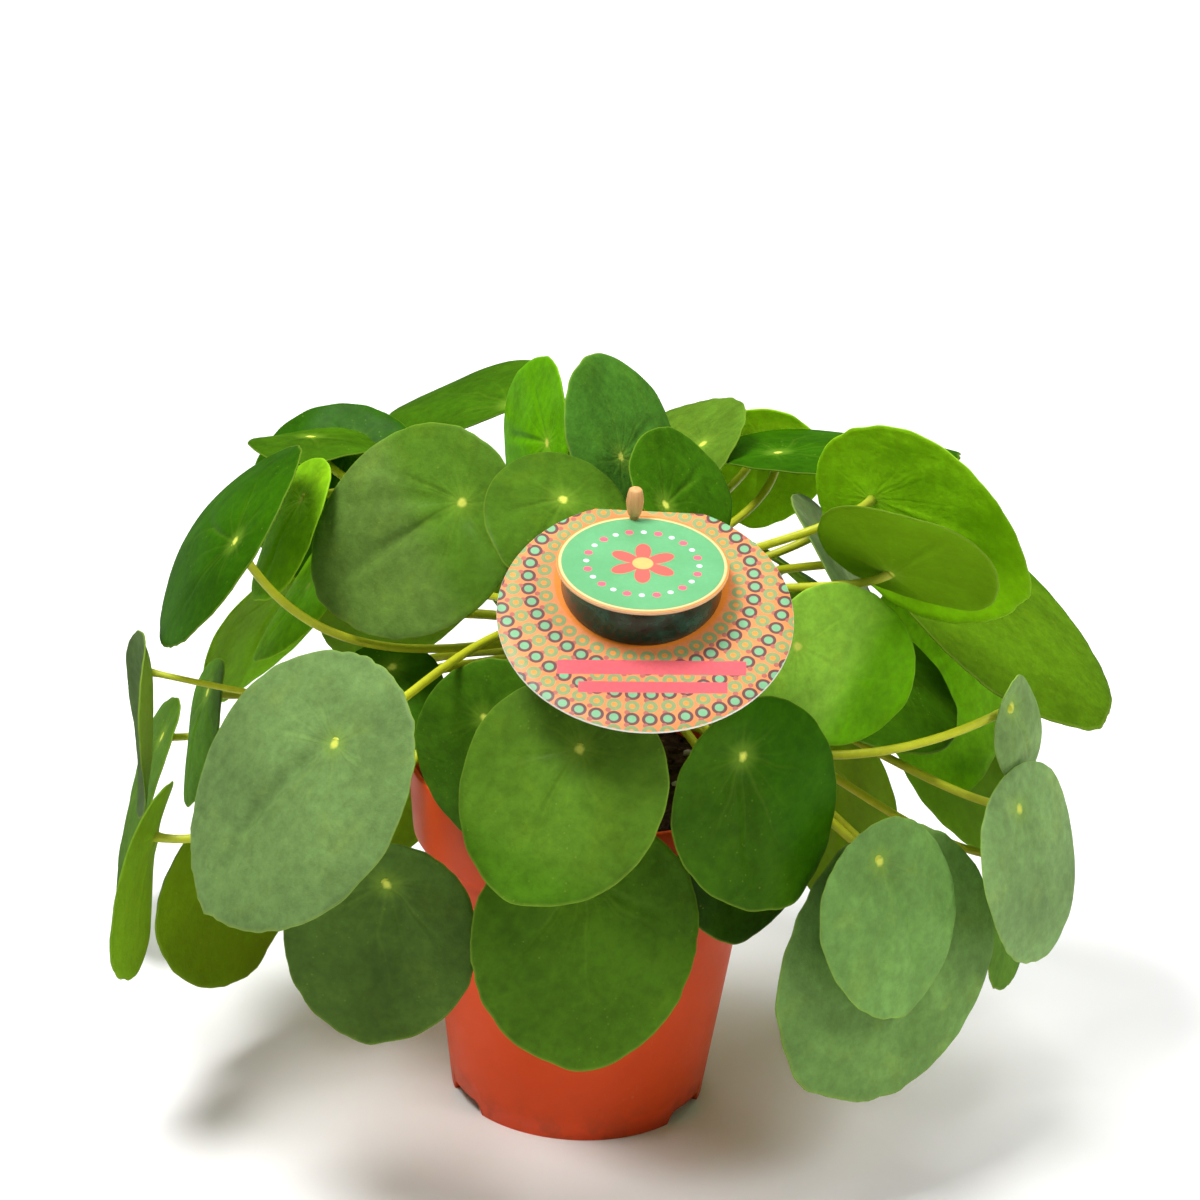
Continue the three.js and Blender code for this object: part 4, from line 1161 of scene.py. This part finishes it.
class MONEYPLANT_OT_soil(bpy.types.Operator):
    """Builds the soil and the crumbs that lie on it"""

    bl_idname = "money_plant.soil"
    bl_label = "Soil"

    def execute(self, context):
        earth = material("soil", soil_paint, Roughness=0.95, Specular_IOR_Level=0.2)
        bed = soil_body()
        add_piece("soil_bed", bed, earth, "soil", ["soil"], pale=np.zeros(len(bed[0])))
        crumbs, pale = crumb_bodies(context.scene.money_plant_pot.crumbs)
        add_piece("soil_crumbs", crumbs, earth, "soil", ["soil"], pale=pale)
        return {"FINISHED"}


class MONEYPLANT_OT_stem(bpy.types.Operator):
    """Builds the woody stem and all the petioles"""

    bl_idname = "money_plant.stem"
    bl_label = "Stem and petioles"

    def execute(self, context):
        node = ["stem_and_petioles"]
        add_piece("woody_stem", stem_body(), material("stem", stem_paint, Roughness=0.7), "petiole", node)
        bodies, along = zip(*map(petiole_body, LEAVES))
        skin = material("stalk", stalk_paint, Specular_IOR_Level=0.3)
        add_piece("petioles", joined(bodies), skin, "petiole", node, along=np.concatenate(along))
        return {"FINISHED"}


class MONEYPLANT_OT_leaves(bpy.types.Operator):
    """Builds every leaf blade"""

    bl_idname = "money_plant.leaves"
    bl_label = "Leaf blades"

    def execute(self, context):
        green = material("leaf", leaf_paint, Specular_IOR_Level=0.0, Coat_Roughness=0.4)
        for k, leaf in enumerate(LEAVES):
            body, uv, share, under = blade_body(leaf)
            add_piece(
                "blade_" + leaf["name"], body, green, "leaf", [f"leaf_{k + 1:02d}_{leaf['name']}"],
                uv=uv, share=share, under=under, tone=blade_tone(leaf, uv, under),
            )
        return {"FINISHED"}


class MONEYPLANT_OT_label(bpy.types.Operator):
    """Builds the label: card, block, lid and peg"""

    bl_idname = "money_plant.label"
    bl_label = "Label"

    def execute(self, context):
        card = round_outline(CARD_RADIUS, flat=CARD_FLAT), CARD_THICKNESS, CARD_SLOPE, CARD_CENTRE
        lid = round_outline(LID_RADIUS), LID_THICKNESS, LID_SLOPE, LID_CENTRE
        for part, sizes, paint in (("card", card, card_paint), ("lid", lid, lid_paint)):
            body, uv, printed = disc_body(*sizes)
            paper = material("label " + part, paint, Specular_IOR_Level=0.35)
            node = "label_" + part
            add_piece("printed_" + part, body, paper, node, [node], uv=uv, printed=printed)
        gloss = material("label block", block_paint, Specular_IOR_Level=0.35)
        add_piece("wedge_block", block_body(), gloss, "label_block", ["label_block"])
        wood = material("peg wood", wood_paint, Roughness=0.62)
        add_piece("wooden_peg", peg_body(), wood, "label_peg", ["label_peg"])
        return {"FINISHED"}


class MONEYPLANT_OT_stage(bpy.types.Operator):
    """Builds the floor, the lights and the camera"""

    bl_idname = "money_plant.stage"
    bl_label = "Stage"

    def execute(self, context):
        scene = context.scene
        look = scene.money_plant_stage
        mesh = bpy.data.meshes.new("floor")
        corners = [(x * FLOOR_REACH, y * FLOOR_REACH, 0) for x, y in ((-1, -1), (1, -1), (1, 1), (-1, 1))]
        mesh.from_pydata(corners, [], [(0, 1, 2, 3)])
        mesh.materials.append(material("floor", floor_paint, Roughness=0.7))
        floor = bpy.data.objects.new("floor", mesh)
        scene.collection.objects.link(floor)
        for name, (place, aim, size) in LIGHTS.items():
            lamp = bpy.data.lights.new(name, "AREA")
            lamp.shape, lamp.size, lamp.energy = "DISK", size, getattr(look, name + "_power")
            shown = bpy.data.objects.new(name, lamp)
            shown.location = place
            shown.visible_glossy = name != "back"
            shown.rotation_euler = (Vector(aim) - Vector(place)).to_track_quat("-Z", "Y").to_euler()
            scene.collection.objects.link(shown)
        scene.world = bpy.data.worlds.new("sky")
        scene.world.use_nodes = True
        sky = scene.world.node_tree.nodes["Background"].inputs
        sky["Color"].default_value = (1.0, 1.0, 1.0, 1.0)
        sky["Strength"].default_value = look.sky
        scene.view_settings.view_transform = "Standard"
        eye = bpy.data.cameras.new("camera")
        eye.lens, eye.sensor_width = look.lens, SENSOR_WIDTH
        camera = bpy.data.objects.new("camera", eye)
        tilt = Matrix.Rotation(np.radians(90 - look.camera_pitch), 4, "X")
        roll = Matrix.Rotation(np.radians(look.camera_roll), 4, "Z")
        camera.matrix_world = Matrix.Translation(look.camera_place) @ tilt @ roll
        scene.collection.objects.link(camera)
        scene.camera = camera
        return {"FINISHED"}


class MONEYPLANT_PT_panel(bpy.types.Panel):
    """Lists the plant's pieces and their settings"""

    bl_idname = "MONEYPLANT_PT_panel"
    bl_label = "Money plant"
    bl_space_type = "VIEW_3D"
    bl_region_type = "UI"
    bl_category = "Money plant"

    def draw(self, context):
        for operator in OPERATORS:
            self.layout.operator(operator.bl_idname)
        for name, settings in SETTINGS.items():
            box = self.layout.box()
            box.label(text=settings.__doc__.split(" on ")[-1].rstrip("."))
            for key in settings.__annotations__:
                box.prop(getattr(context.scene, name), key)


OPERATORS = (
    MONEYPLANT_OT_stage,
    MONEYPLANT_OT_pot,
    MONEYPLANT_OT_soil,
    MONEYPLANT_OT_stem,
    MONEYPLANT_OT_leaves,
    MONEYPLANT_OT_label,
)
SETTINGS = {
    "money_plant_pot": MoneyPlantPot,
    "money_plant_leaves": MoneyPlantLeaves,
    "money_plant_label": MoneyPlantLabel,
    "money_plant_stage": MoneyPlantStage,
}


def register():
    for item in (*SETTINGS.values(), *OPERATORS, MONEYPLANT_PT_panel):
        bpy.utils.register_class(item)
    for name, settings in SETTINGS.items():
        setattr(bpy.types.Scene, name, PointerProperty(type=settings))


def unregister():
    for name in SETTINGS:
        delattr(bpy.types.Scene, name)
    for item in (MONEYPLANT_PT_panel, *reversed(OPERATORS), *reversed(SETTINGS.values())):
        bpy.utils.unregister_class(item)


def main():
    """Builds every piece."""
    register()
    for operator in OPERATORS:
        getattr(bpy.ops.money_plant, operator.bl_idname.split(".")[1])()


if __name__ == "__main__":
    main()
